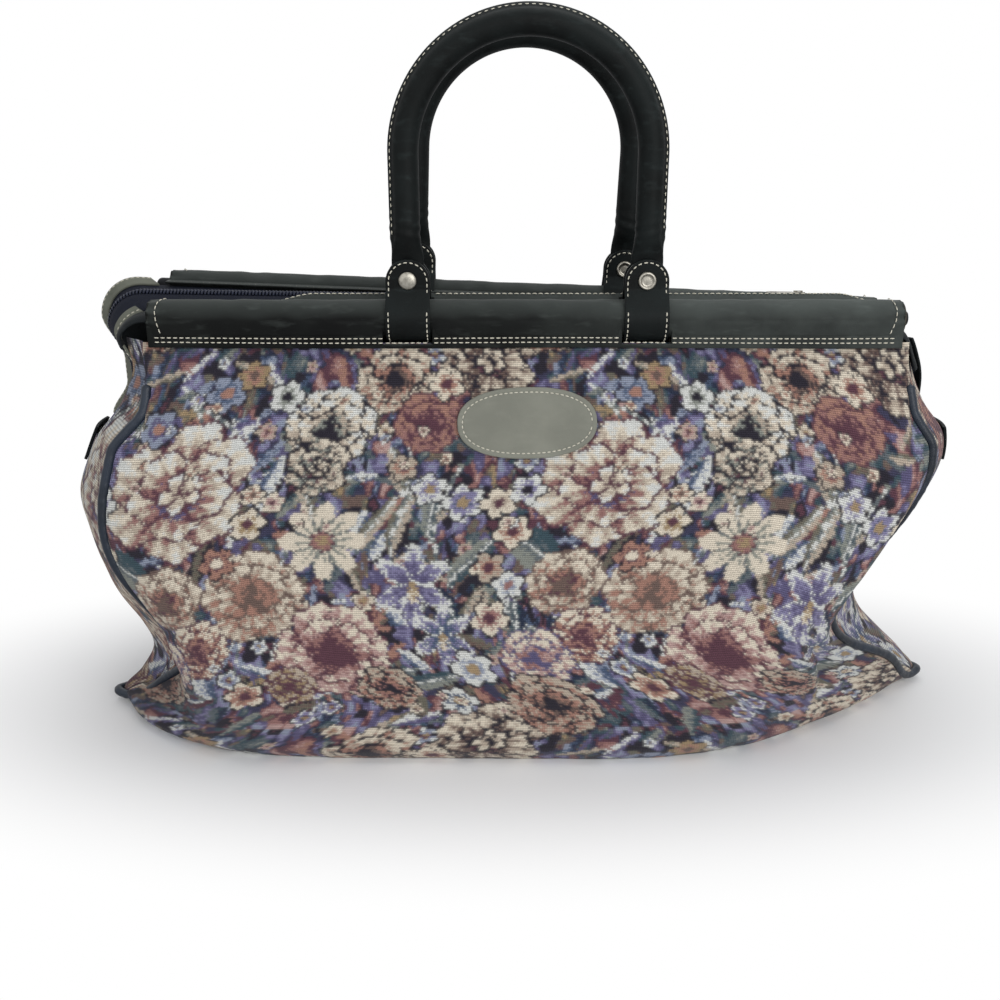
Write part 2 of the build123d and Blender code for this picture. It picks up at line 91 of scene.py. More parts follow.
def splineThrough(points, count):
    p = np.asarray(points, float)
    t = lengthsAlong(p)
    n = len(p)
    h = np.diff(t)
    m = np.eye(n)
    r = np.zeros_like(p)
    for i in range(1, n - 1):
        m[i, i - 1:i + 2] = h[i - 1], 2 * (h[i - 1] + h[i]), h[i]
        r[i] = 6 * ((p[i + 1] - p[i]) / h[i] - (p[i] - p[i - 1]) / h[i - 1])
    c = np.linalg.solve(m, r)
    q = np.linspace(0, t[-1], count * 4)
    k = np.clip(np.searchsorted(t, q) - 1, 0, n - 2)
    a = ((t[k + 1] - q) / h[k])[:, None]
    b = 1 - a
    out = a * p[k] + b * p[k + 1] + ((a**3 - a) * c[k] + (b**3 - b) * c[k + 1]) * (h[k]**2)[:, None] / 6
    return evenSteps(out, count)


def evenSteps(line, count):
    line = np.asarray(line, float)
    t = lengthsAlong(line)
    q = np.linspace(0, t[-1], count)
    return np.stack([np.interp(q, t, line[:, k]) for k in range(line.shape[1])], 1)


heightStep = 2
lastHeight = 150
tableHeights = np.linspace(0, lastHeight * heightStep, lastHeight + 1)
tablePlans = [planPoints(row) for row in levelRows(tableHeights)]
surfaces = {
    "front": np.array([splineThrough(p[0:9], 301) for p in tablePlans]),
    "back": np.array([splineThrough(p[10:19], 301) for p in tablePlans]),
    "right": np.array([splineThrough(p[8:11], 121) for p in tablePlans]),
    "left": np.array([splineThrough([p[18], p[19], p[0]], 121) for p in tablePlans]),
}


def onSurface(side, share, height):
    table = surfaces[side]
    a = np.clip(np.asarray(share, float), 0, 1) * (table.shape[1] - 1)
    b = np.clip(np.asarray(height, float) / heightStep, 0, lastHeight)
    i = np.clip(a.astype(int), 0, table.shape[1] - 2)
    j = np.clip(b.astype(int), 0, lastHeight - 1)
    fa = (a - i)[..., None]
    fb = (b - j)[..., None]
    flat = (table[j, i] * (1 - fa) + table[j, i + 1] * fa) * (1 - fb)
    return flat + (table[j + 1, i] * (1 - fa) + table[j + 1, i + 1] * fa) * fb


def pinched(points, rightBy=9):
    # both ends of the visible cloth and zip draw in below the rails, as the cloth sags there
    p = np.array(points, float)
    x, z = p[..., 0], p[..., 2]
    left = 13 * smoothStep(289, 258, z) * smoothStep(216, 242, z) * smoothStep(-244, -262, x)
    right = rightBy * smoothStep(300, 268, z) * smoothStep(216, 242, z) * smoothStep(244, 260, x)
    p[..., 0] += left - right
    return p


def smoothNoise(seed, x, y, cell):
    rng = np.random.default_rng(seed)
    grid = rng.random((64, 64))
    gx = np.asarray(x, float) / cell
    gy = np.asarray(y, float) / cell
    i = np.floor(gx).astype(int)
    j = np.floor(gy).astype(int)
    fx = gx - i
    fy = gy - j
    fx = fx * fx * (3 - 2 * fx)
    fy = fy * fy * (3 - 2 * fy)
    a = grid[j % 64, i % 64] * (1 - fx) + grid[j % 64, (i + 1) % 64] * fx
    b = grid[(j + 1) % 64, i % 64] * (1 - fx) + grid[(j + 1) % 64, (i + 1) % 64] * fx
    return a * (1 - fy) + b * fy


# the tapestry's own drawing: fields of colour and simple shapes on a grid of threads
def srgb(text):
    c = np.array([int(text[i:i + 2], 16) for i in (0, 2, 4)]) / 255
    return np.where(c <= .04045, c / 12.92, ((c + .055) / 1.055)**2.4)


thread = {name: srgb(code) for name, code in {
    "plum": "25222b", "navy": "252c3e", "slate": "435067", "teal": "35474f", "smoke": "575e62",
    "sage": "7b7e77", "olive": "625e53", "maroon": "52353f", "rose": "886460", "pink": "a68a85",
    "clay": "957063", "ochre": "917d61", "brown": "62514b", "lavender": "767290", "violet": "524d6b",
    "beige": "a79a8b", "cream": "c9bfae", "pale": "c4c5c1", "blueGrey": "818899", "dusk": "37364b",
}.items()}
loom = {"columns": 190, "rows": 204, "cell": 1.49, "jagX": 1.5 * .62, "jagY": .45}
loomRng = np.random.default_rng(7)
loomY, loomX = np.mgrid[0:loom["rows"], 0:loom["columns"]] * loom["cell"]
loomWidth = loom["columns"] * loom["cell"]
loomHeight = loom["rows"] * loom["cell"]
jagX = loomRng.normal(0, loom["jagX"], loomX.shape)
jagY = loomRng.normal(0, loom["jagY"], loomX.shape)
hatch = loomRng.random(loomX.shape) * .9 + (np.indices(loomX.shape)[0] % 2) * .35
draft = np.zeros(loomX.shape + (3,))


def away(x, y, jag=1.0):
    dx = (loomX + jagX * jag - x + loomWidth / 2) % loomWidth - loomWidth / 2
    dy = (loomY + jagY * jag - y + loomHeight / 2) % loomHeight - loomHeight / 2
    return dx, dy


def paint(mask, colours, value=0.0):
    steps = np.clip(np.floor(np.asarray(value) * len(colours) + hatch - .62), 0, len(colours) - 1).astype(int)
    steps = np.broadcast_to(steps, mask.shape)
    shades = np.array([thread[c] for c in colours])
    draft[mask] = shades[steps][mask]


def ground():
    warpX = loomX + 9 * smoothNoise(3, loomX, loomY, 11)
    for seed, cut, colours in (
        (11, 0, "plum navy dusk"), (12, .60, "navy slate blueGrey"), (13, .62, "teal smoke sage"),
        (14, .66, "brown olive ochre"), (15, .66, "maroon rose pink"), (16, .66, "violet lavender blueGrey"),
        (17, .72, "plum plum maroon"),
    ):
        broad = smoothNoise(seed, warpX, loomY * .62, 9.3)
        field = .6 * broad + .4 * smoothNoise(seed + 40, warpX, loomY * .5, 4.2)
        paint(field > cut * .86, colours.split(), np.clip((field - cut * .86) * 3.2, 0, 1))


def turned(dx, dy, turn):
    return dx * math.cos(turn) + dy * math.sin(turn), dy * math.cos(turn) - dx * math.sin(turn)


def leaf(x, y, length, width, turn, colours, vein="pale"):
    dx, dy = away(x, y)
    a, b = turned(dx, dy, turn)
    b = b - .16 * width * np.sin(a / length * 3)
    half = width * np.sqrt(np.clip(1 - (a / length)**2, 0, 1)) * (1 - .25 * a / length)
    inside = np.abs(b) < half
    paint(inside, colours, np.clip(.5 + .55 * b / np.maximum(half, .1) + .12 * np.sin(a * 1.4), 0, 1))
    paint(inside & (np.abs(b) < .7), (vein,))


def stem(points, width, colours):
    line = evenSteps(splineThrough(points, 30), 60)
    for i, (x, y) in enumerate(line):
        dx, dy = away(x, y, .5)
        paint(dx**2 + dy**2 < (width * (1.1 - .3 * i / 60))**2, colours, .5 + .5 * math.sin(i * .9))


def petal(x, y, length, width, turn, colours, edge=None, gap=None):
    dx, dy = away(x, y)
    a, b = turned(dx, dy, turn)
    r = np.sqrt((a / length)**2 + (b / width)**2)
    frill = 1 + .08 * np.sin(np.arctan2(b / width, a / length) * 6 + x)
    if gap:
        paint(r < frill + 1.7 / width, (gap,))
    if edge:
        paint((r < frill) & (r > .86 * frill), (edge,))
    inside = r < (.87 * frill if edge else frill)
    streak = .16 * np.sin(np.arctan2(b, a + length * 1.15) * 19 + x)
    paint(inside, colours, np.clip(.40 + .50 * a / length - .16 * (dy - dx * .4) / length + streak, 0, 1))


def rose(x, y, size, colours, heart):
    for ring, (count, out, big) in enumerate(((6, .62, .50), (5, .36, .42), (3, .15, .30))):
        shades = colours if ring < 2 else heart + colours[:2]
        for i in range(count):
            turn = (i + ring * .45 + .2 * math.sin(i * 5 + x)) / count * 2 * math.pi
            cx = x + math.cos(turn) * out * size
            cy = y + math.sin(turn) * out * size * .92
            petal(cx, cy, size * big * .86, size * big, turn, shades, gap=heart[0])
    dx, dy = away(x, y)
    swirl = np.hypot(dx, dy) / size
    paint((swirl < .24) & (np.sin(np.arctan2(dy, dx) * 2 + swirl * 30) > .2), heart)


def peony(x, y, size, colours, heart):
    shades = [heart[0]] + colours
    for count, out, big in ((6, .58, .47), (5, .34, .36)):
        for i in range(count):
            turn = (i + .35 + count * .2) / count * 2 * math.pi + .18 * math.sin(i * 3 + count)
            reach = out * size * (1 + .06 * math.sin(i * 7))
            cx = x + math.cos(turn) * reach
            cy = y + math.sin(turn) * reach * .95
            petal(cx, cy, size * big, size * big * .95, turn, shades, gap=heart[0])
    dx, dy = away(x, y, 1.4)
    r = np.hypot(dx, dy - size * .1) / size
    angle = np.arctan2(dy - size * .1, dx)
    rays = .30 + .24 * np.sin(angle * 9) * np.sin(angle * 4 + 1)
    paint(r < rays, heart, np.clip(r * 2.2, 0, 1))
    for i in range(5):
        turn = i * 1.3 + .4
        cx = x + math.cos(turn) * size * .17
        cy = y + math.sin(turn) * size * .17
        petal(cx, cy, size * .13, size * .10, turn, colours[1:], gap=heart[0])


def star(x, y, size, colours, heart, points=8):
    dx, dy = away(x, y, .7)
    r = np.hypot(dx, dy) / size
    angle = np.arctan2(dy, dx)
    rim = .6 + .4 * np.abs(np.cos(points * angle / 2))
    inside = r < rim
    paint(inside, colours, np.clip(r * .9 + .2 * np.sin(angle * points * 2), 0, 1))
    paint(inside & (np.abs(np.sin(points * angle / 2 + math.pi / 2)) < .16) & (r < .8), ("smoke", "sage"), .4)
    paint(r < .24, heart, np.clip(1 - r * 4, 0, 1))
    paint((r > .22) & (r < .3) & (np.sin(angle * 9) > 0), ("maroon",))


def blossom(x, y, size, colours, heart):
    dx, dy = away(x, y, .6)
    r = np.hypot(dx, dy) / size
    angle = np.arctan2(dy, dx) + x
    paint(r < 1.08 * (.66 + .4 * np.abs(np.cos(2.5 * angle))), ("plum",))
    paint(r < .62 + .38 * np.abs(np.cos(2.5 * angle)), colours, np.clip(r, 0, 1))
    paint(r < .3, heart, .5)


def iris(x, y, size, colours, heart):
    for turn, reach in ((-1.57, .55), (-2.5, .5), (-.64, .5), (.6, .55), (2.54, .55), (1.57, .62)):
        cx = x + math.cos(turn) * size * reach
        cy = y + math.sin(turn) * size * reach
        petal(cx, cy, size * .52, size * .22, turn, colours, edge="pale")
    petal(x, y + size * .2, size * .3, size * .12, 1.57, heart)


def colourSets(*texts):
    return [text.split() for text in texts]


print("drawing the tapestry")
ground()
leafKinds = colourSets(
    "teal smoke sage", "navy teal smoke", "olive sage beige", "slate blueGrey pale",
    "dusk slate blueGrey", "plum brown olive", "maroon rose clay", "violet lavender pale",
)
blossomKinds = colourSets(
    "lavender blueGrey pale", "rose pink beige", "clay beige cream", "slate lavender pale",
)
budKinds = colourSets("clay cream", "pink cream", "blueGrey pale")
for i in range(150):
    x, y = loomRng.random(2) * (loomWidth, loomHeight)
    length, width, turn = 8 + 10 * loomRng.random(), 2.6 + 3.2 * loomRng.random(), loomRng.random() * 6.3
    kind = leafKinds[i % len(leafKinds)]
    leaf(x, y, length, width, turn, kind, kind[-1])
for i in range(46):
    x, y = loomRng.random(2) * (loomWidth, loomHeight)
    blossom(x, y, 4.5 + 4 * loomRng.random(), blossomKinds[i % 4], ("maroon", "ochre"))
for x, y, length, width, turn, kind in (
    (205, 95, 20, 5, 1.2, 2), (232, 128, 22, 6, 1.4, 0), (196, 134, 24, 5.5, -1.1, 2),
    (212, 132, 24, 6, -1.4, 2), (84, 196, 30, 5, -.8, 4), (100, 215, 30, 4.5, -.9, 4),
    (168, 246, 26, 7, .5, 2), (226, 262, 28, 7, -.35, 0), (28, 158, 24, 14, .5, 0),
    (66, 250, 18, 9, 1.2, 3), (150, 120, 24, 5, 1.1, 2), (120, 105, 24, 6, -1.3, 3),
    (250, 200, 20, 6, .9, 1), (16, 215, 22, 7, 1.4, 1), (262, 165, 24, 8, 2.2, 0),
):
    leaf(x, y, length, width, turn, leafKinds[kind])
for points in (
    ((48, 30), (66, 50), (74, 92), (92, 122)), ((60, 44), (88, 60), (103, 84), (108, 100)),
    ((140, 150), (122, 190), (98, 226), (90, 250)), ((205, 60), (214, 100), (208, 150), (216, 190)),
    ((246, 90), (236, 130), (240, 170), (226, 214)), ((150, 230), (178, 236), (204, 250), (226, 250)),
):
    stem(points, 1.35, ("smoke", "sage", "pale"))
for draw, x, y, size, colours, heart in (
    (peony, 64, 104, 46, "rose beige cream pale", "maroon violet rose"),
    (rose, 156, 62, 29, "sage beige cream pale", "plum"),
    (peony, 152, 92, 20, "sage beige cream", "plum olive maroon"),
    (peony, 262, 12, 33, "brown beige cream", "plum maroon brown"),
    (rose, 196, 26, 26, "brown clay beige cream", "plum"),
    (rose, 222, 58, 22, "maroon rose clay", "maroon"),
    (star, 162, 148, 30, "sage cream cream", "rose ochre"),
    (rose, 112, 188, 34, "clay clay beige cream", "brown"),
    (rose, 164, 234, 38, "maroon rose pink cream", "maroon"),
    (rose, 130, 262, 17, "brown ochre beige", "maroon"),
    (rose, 48, 180, 26, "maroon clay beige cream", "brown"),
    (rose, 66, 222, 23, "rose clay cream", "maroon"),
    (rose, 28, 240, 24, "rose pink cream", "violet"),
    (rose, 20, 282, 28, "brown clay beige", "plum"),
    (rose, 196, 268, 20, "rose clay beige", "plum"),
    (iris, 224, 182, 30, "violet lavender pale", "ochre cream"),
    (iris, 246, 222, 24, "slate lavender pale", "ochre cream"),
    (blossom, 252, 118, 14, "slate lavender pale", "ochre"),
    (blossom, 228, 108, 12, "lavender pale", "ochre"),
    (blossom, 80, 36, 14, "slate blueGrey", "clay"), (blossom, 40, 58, 13, "violet blueGrey", "clay"),
    (blossom, 276, 118, 12, "beige cream", "maroon"), (blossom, 6, 140, 13, "clay cream", "maroon"),
    (blossom, 276, 168, 12, "clay beige", "maroon"), (blossom, 10, 108, 12, "lavender pale", "plum"),
    (blossom, 262, 250, 16, "blueGrey pale", "ochre"), (blossom, 280, 208, 14, "rose cream", "maroon"),
    (blossom, 112, 112, 8, "clay cream", "brown"), (blossom, 126, 118, 8, "pink cream", "maroon"),
    (blossom, 112, 134, 12, "ochre cream", "maroon"), (blossom, 208, 92, 10, "clay beige", "maroon"),
    (blossom, 8, 182, 11, "blueGrey pale", "rose"), (blossom, 96, 24, 11, "clay ochre", "brown"),
    (blossom, 122, 40, 12, "sage pale", "plum"), (blossom, 96, 268, 14, "brown clay cream", "maroon"),
    (blossom, 232, 30, 12, "clay cream", "maroon"), (blossom, 90, 160, 12, "maroon clay", "cream"),
    (blossom, 240, 280, 13, "slate pale", "ochre"),
):
    draw(x, y, size, colours.split(), heart.split())
for i in range(26):
    x, y = loomRng.random(2) * (loomWidth, loomHeight)
    blossom(x, y, 3 + 1.6 * loomRng.random(), budKinds[i % 3], ("brown",))
draft *= (.90 + .2 * loomRng.random(draft.shape[:2]))[..., None]


# materials
def newGroup(name, inputs, outputs):
    group = bpy.data.node_groups.new(name, "ShaderNodeTree")
    for title, value in inputs.items():
        socket = group.interface.new_socket(title, in_out="INPUT", socket_type="NodeSocketFloat")
        socket.default_value = value
    for title in outputs:
        group.interface.new_socket(title, in_out="OUTPUT", socket_type="NodeSocketFloat")
    return group, group.nodes.new("NodeGroupInput"), group.nodes.new("NodeGroupOutput")


def addNode(tree, kind, links=(), **settings):
    node = tree.nodes.new(kind)
    for key, value in settings.items():
        if key.startswith("in_"):
            node.inputs[int(key[3:])].default_value = value
        else:
            setattr(node, key, value)
    for index, source in links:
        tree.links.new(source, node.inputs[index])
    return node


def mathNode(tree, operation, a, b=None, clamp=False):
    node = tree.nodes.new("ShaderNodeMath")
    node.operation = operation
    node.use_clamp = clamp
    for index, value in enumerate((a, b)):
        if value is None:
            continue
        if isinstance(value, (int, float)):
            node.inputs[index].default_value = value
        else:
            tree.links.new(value, node.inputs[index])
    return node.outputs[0]


def mixColour(tree, factor, a, b, blendType="MIX"):
    node = tree.nodes.new("ShaderNodeMix")
    node.data_type = "RGBA"
    node.blend_type = blendType
    for index, value in ((0, factor), (6, a), (7, b)):
        if isinstance(value, (int, float)):
            node.inputs[index].default_value = value
        elif isinstance(value, (tuple, list, np.ndarray)):
            node.inputs[index].default_value = (*[float(v) for v in value[:3]], 1)
        else:
            tree.links.new(value, node.inputs[index])
    return node.outputs[2]


def scaled(tree, value, factor):
    return mathNode(tree, "MULTIPLY", value, factor)


def objectCoord(tree):
    return addNode(tree, "ShaderNodeTexCoord").outputs["Object"]


def noiseNode(tree, vector, scale, detail):
    noise = addNode(tree, "ShaderNodeTexNoise", [(0, vector)])
    noise.inputs["Scale"].default_value = scale
    noise.inputs["Detail"].default_value = detail
    return noise.outputs[0]


def rangeNode(tree, source, low, high):
    return addNode(tree, "ShaderNodeMapRange", [(0, source)], in_1=low, in_2=high).outputs[0]


grain, gin, gout = newGroup("leatherGrain", {"Scale": 900.0}, ("Height", "Cloud", "Scuff"))
coord = objectCoord(grain)
cells = addNode(grain, "ShaderNodeTexVoronoi", [(0, coord), (2, gin.outputs[0])], feature="DISTANCE_TO_EDGE")
fine = noiseNode(grain, coord, 420, 6)
stretch = addNode(grain, "ShaderNodeMapping", [(0, coord)])
stretch.inputs["Scale"].default_value = (60, 190, 190)
heightMix = mathNode(grain, "ADD", scaled(grain, cells.outputs[0], 1.2), scaled(grain, fine, .5))
cloud = noiseNode(grain, coord, 34, 5)
scuff = noiseNode(grain, stretch.outputs[0], 1, 4)
for index, source in enumerate((heightMix, cloud, scuff)):
    grain.links.new(source, gout.inputs[index])

ribs, _, rout = newGroup("wovenRibs", {}, ("Height", "Shade"))
uvs = addNode(ribs, "ShaderNodeUVMap", uv_map="weave")
parts = addNode(ribs, "ShaderNodeSeparateXYZ", [(0, uvs.outputs[0])])
rowPhase = mathNode(ribs, "ADD", parts.outputs[1], scaled(ribs, noiseNode(ribs, uvs.outputs[0], .8, 2), .35))
ribWave, pickWave = [
    mathNode(ribs, "ABSOLUTE", mathNode(ribs, "SINE", scaled(ribs, phase, math.pi)))
    for phase in (rowPhase, parts.outputs[0])
]
ribs.links.new(mathNode(ribs, "ADD", ribWave, scaled(ribs, pickWave, .45)), rout.inputs[0])
shade = mathNode(ribs, "ADD", scaled(ribs, ribWave, .52), scaled(ribs, pickWave, .14))
ribs.links.new(mathNode(ribs, "ADD", shade, .52), rout.inputs[1])


def newMaterial(name):
    material = bpy.data.materials.new(name)
    material.use_nodes = True
    tree = material.node_tree
    return material, tree, tree.nodes["Principled BSDF"]


def bumpInto(tree, shader, height, strength, distance):
    bump = addNode(tree, "ShaderNodeBump")
    bump.inputs["Strength"].default_value = strength
    bump.inputs["Distance"].default_value = distance
    tree.links.new(height, bump.inputs["Height"])
    tree.links.new(bump.outputs[0], shader.inputs["Normal"])


def leatherMaterial(name, dark, light, scale, roughness, paintedTopLight, wornAndLitColour, gloss=.07, along=0.0):
    material, tree, shader = newMaterial(name)
    group = addNode(tree, "ShaderNodeGroup", node_tree=grain, in_0=scale)
    clouds = group.outputs["Cloud"]
    colour = mixColour(tree, rangeNode(tree, clouds, .36, .66), srgb(dark), srgb(light))
    wearAndPaintedLight = scaled(tree, rangeNode(tree, group.outputs["Scuff"], .56, .78), .16)
    # painted light: upward-facing faces are mixed towards the lighter colour, as if lit from above; the
    # scuffs mixed in above are real wear
    geometry = addNode(tree, "ShaderNodeNewGeometry")
    facing = addNode(tree, "ShaderNodeSeparateXYZ", [(0, geometry.outputs["Normal"])])
    up = rangeNode(tree, facing.outputs[2], .12, .95)
    wearAndPaintedLight = mathNode(tree, "ADD", wearAndPaintedLight, scaled(tree, up, paintedTopLight), True)
    # painted light: with along set, the leather is mixed towards the lighter colour towards +x, as if lit
    # from the right, in patches that follow the cloud noise
    if along:
        where = addNode(tree, "ShaderNodeSeparateXYZ", [(0, objectCoord(tree))])
        reach = rangeNode(tree, where.outputs[0], -.02, .16)
        paintedRightLight = mathNode(tree, "MULTIPLY", scaled(tree, reach, along), clouds)
        wearAndPaintedLight = mathNode(tree, "ADD", wearAndPaintedLight, paintedRightLight, True)
    tree.links.new(mixColour(tree, wearAndPaintedLight, colour, srgb(wornAndLitColour)), shader.inputs["Base Color"])
    rough = mathNode(tree, "ADD", scaled(tree, clouds, .22), roughness - .1)
    tree.links.new(rough, shader.inputs["Roughness"])
    shader.inputs["Specular IOR Level"].default_value = gloss
    bumpInto(tree, shader, group.outputs["Height"], .32, .00025)
    return material


tapestry, tree, shader = newMaterial("tapestryCloth")
threads = addNode(tree, "ShaderNodeAttribute", attribute_name="threads")
weave = addNode(tree, "ShaderNodeGroup", node_tree=ribs)
spun = addNode(tree, "ShaderNodeCombineXYZ", [(index, weave.outputs["Shade"]) for index in range(3)])
shaded = mixColour(tree, 1.0, threads.outputs[0], spun.outputs[0], "MULTIPLY")
tree.links.new(shaded, shader.inputs["Base Color"])
shader.inputs["Roughness"].default_value = .92
shader.inputs["Specular IOR Level"].default_value = .15
shader.inputs["Sheen Weight"].default_value = .12
bumpInto(tree, shader, weave.outputs["Height"], .55, .0005)

# in each leather the number after the roughness sets its painted light from above, and the colour after it
# serves both wear and painted light; the rail's last number paints it paler towards its right end
leathers = {
    "rail": leatherMaterial("railLeather", "0e0f0f", "161817", 850.0, .52, .34, "5c625f", .06, .55),
    "strap": leatherMaterial("strapLeather", "0b0d0d", "141818", 950.0, .5, .10, "465050", .08),
    "trim": leatherMaterial("trimLeather", "595b52", "73756a", 1100.0, .62, .1, "8b8d82"),
    "patch": leatherMaterial("patchLeather", "72736a", "7e7f75", 1000.0, .6, .08, "929389"),
    "piping": leatherMaterial("pipingLeather", "10161f", "1b2431", 1300.0, .36, .1, "34404f", .3),
    "dark": leatherMaterial("darkLeather", "0e1011", "191c1e", 950.0, .5, .1, "3c4143"),
}


def speckled(name, dark, light, scale, detail):
    material, tree, shader = newMaterial(name)
    noise = noiseNode(tree, objectCoord(tree), scale, detail)
    tree.links.new(mixColour(tree, noise, srgb(dark), srgb(light)), shader.inputs["Base Color"])
    return material, tree, shader, noise


def fibreMaterial(name, dark, light, scale, roughness=.8):
    material, tree, shader, noise = speckled(name, dark, light, scale, 4)
    wave = addNode(tree, "ShaderNodeTexWave", [(0, objectCoord(tree))], bands_direction="DIAGONAL")
    wave.inputs["Scale"].default_value = scale * 1.6
    wave.inputs["Distortion"].default_value = 1.5
    shader.inputs["Roughness"].default_value = roughness
    shader.inputs["Specular IOR Level"].default_value = .15
    bumpInto(tree, shader, wave.outputs["Fac"], .5, .0002)
    return material


fibres = {
    "thread": fibreMaterial("stitchThread", "b8b3a2", "e2decf", 900),
    "tape": fibreMaterial("zipTape", "090b14", "141927", 700),
    "coil": fibreMaterial("zipCoil", "10131f", "262c40", 500, .4),
    "core": fibreMaterial("railFilling", "38342e", "5a554c", 300),
}


def metalMaterial(name, dark, light, roughness):
    material, tree, shader, noise = speckled(name, dark, light, 600, 5)
    shader.inputs["Metallic"].default_value = 1
    tree.links.new(mathNode(tree, "ADD", scaled(tree, noise, .25), roughness), shader.inputs["Roughness"])
    bumpInto(tree, shader, noise, .12, .0002)
    return material


metals = {
    "nickel": metalMaterial("agedNickel", "6d6a62", "aeaaa0", .22),
    "rod": metalMaterial("blackRod", "101011", "26272a", .4),
}
print("materials made")


def placed(name, data):
    item = bpy.data.objects.new(name, data)
    bpy.context.scene.collection.objects.link(item)
    return item


# mesh helpers, all in mm until the mesh is made
def makeMesh(name, points, faces, material, riding="bag", uv=None, colour=None):
    mesh = bpy.data.meshes.new(name)
    points = np.asarray(points, float).reshape(-1, 3) * .001
    mesh.from_pydata(points.tolist(), [], faces)
    mesh.materials.append(material)
    mesh.polygons.foreach_set("use_smooth", [True] * len(mesh.polygons))
    if uv is not None:
        layer = mesh.uv_layers.new(name="weave")
        layer.data.foreach_set("uv", np.asarray(uv, np.float32).ravel())
    if colour is not None:
        attribute = mesh.color_attributes.new(name="threads", type="FLOAT_COLOR", domain="CORNER")
        full = np.ones((len(colour), 4, 4), np.float32)
        full[:, :, :3] = np.asarray(colour)
        attribute.data.foreach_set("color", full.ravel())
    mesh.update()
    piece = placed(name, mesh)
    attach(piece, riding)
    return piece


def gridFaces(rows, columns, closeColumns=False, start=0, flip=False):
    faces = []
    for j in range(rows - 1):
        for i in range(columns if closeColumns else columns - 1):
            a = start + j * columns + i
            b = start + j * columns + (i + 1) % columns
            c, d = b + columns, a + columns
            faces.append((a, d, c, b) if flip else (a, b, c, d))
    return faces


def gridNormals(grid):
    along = np.gradient(grid, axis=1)
    down = np.gradient(grid, axis=0)
    n = np.cross(along, down)
    return n / np.maximum(np.linalg.norm(n, axis=2, keepdims=True), 1e-9)


# a corner's colour is part its own cell's and part the mean of the four cells that meet there
weaveBlend = {"own": .42, "shared": .58}
knot = (draft + np.roll(draft, 1, 0) + np.roll(draft, 1, 1) + np.roll(draft, (1, 1), (0, 1))) / 4


def clothPiece(name, grid, columnStart, rowStart, keep=None, flip=False):
    rows, columns = grid.shape[:2]
    faces = np.array(gridFaces(rows, columns, flip=flip))
    j, i = np.divmod(np.arange(len(faces)), columns - 1)
    own = draft[(j + rowStart) % loom["rows"], (i + columnStart) % loom["columns"]]
    order = np.array([(0, 0), (0, 1), (1, 1), (1, 0)] if flip else [(0, 0), (1, 0), (1, 1), (0, 1)])
    corners = [
        knot[(j + dj + rowStart) % loom["rows"], (i + di + columnStart) % loom["columns"]] for di, dj in order
    ]
    colour = np.stack([own * weaveBlend["own"] + corner * weaveBlend["shared"] for corner in corners], 1)
    uv = np.stack([i[:, None] + order[None, :, 0], j[:, None] + order[None, :, 1]], 2) * 1.0
    points = grid.reshape(-1, 3)
    if keep is not None:
        chosen = keep.ravel()
        faces, colour, uv = faces[chosen], colour[chosen], uv[chosen]
        used = np.unique(faces)
        renumber = np.full(rows * columns, -1)
        renumber[used] = np.arange(len(used))
        faces = renumber[faces]
        points = points[used]
    return makeMesh(name, points, faces.tolist(), tapestry, uv=uv, colour=colour)


# the cloth's shape
clothTop = 283.5
lowestCloth = .3
creases = (
    ((-262, 130), (-243, 92), 9, -2.4), ((-243, 92), (-229, 69), 9, -2.0), ((-229, 69), (-220, 24), 9, 1.8),
    ((-232, 283), (-243, 252), 3.0, -2.0), ((-226, 283), (-238, 250), 3.0, 1.2),
    ((-220, 70), (-150, 120), 14, 1.6),
    ((233, 176), (210, 128), 10, -2.2), ((210, 128), (193, 90), 9, -3.0), ((193, 84), (212, 54), 4.5, -3.0),
    ((212, 54), (210, 32), 4.5, -2.6), ((202, 88), (224, 54), 4.5, 2.2), ((224, 54), (224, 32), 4.5, 2.0),
    ((193, 90), (140, 150), 16, 1.8), ((180, 70), (120, 40), 13, -1.8), ((247, 200), (200, 190), 12, 1.6),
    ((-250, 190), (-190, 170), 14, 1.5), ((-40, 60), (60, 48), 16, 1.2), ((40, 210), (150, 190), 18, -.9),
)


def creased(grid, facing, gain=1.0):
    x = grid[..., 0]
    z = grid[..., 2]
    push = np.zeros(x.shape)
    for (ax, az), (bx, bz), width, depth in creases:
        dx, dz = bx - ax, bz - az
        t = ((x - ax) * dx + (z - az) * dz) / (dx * dx + dz * dz)
        near = np.clip(t, 0, 1)
        d = np.hypot(x - ax - near * dx, z - az - near * dz)
        over = np.maximum(np.abs(t - .5) - .5, 0) * math.hypot(dx, dz)
        push += depth * np.exp(-(d / width)**2) * np.exp(-(over / width)**2)
    broad, fine = [smoothNoise(seed, x + 400, z + 50, cell) - .5 for seed, cell in ((21, 47), (22, 17))]
    push += 1.6 * broad + .7 * fine
    calm = smoothStep(286, 268, z)
    across = np.linspace(0, 1, grid.shape[1])
    calm = calm * (smoothStep(0, .03, across) * smoothStep(0, .03, 1 - across))[None, :]
    return grid + facing * (push * calm * gain)[..., None]


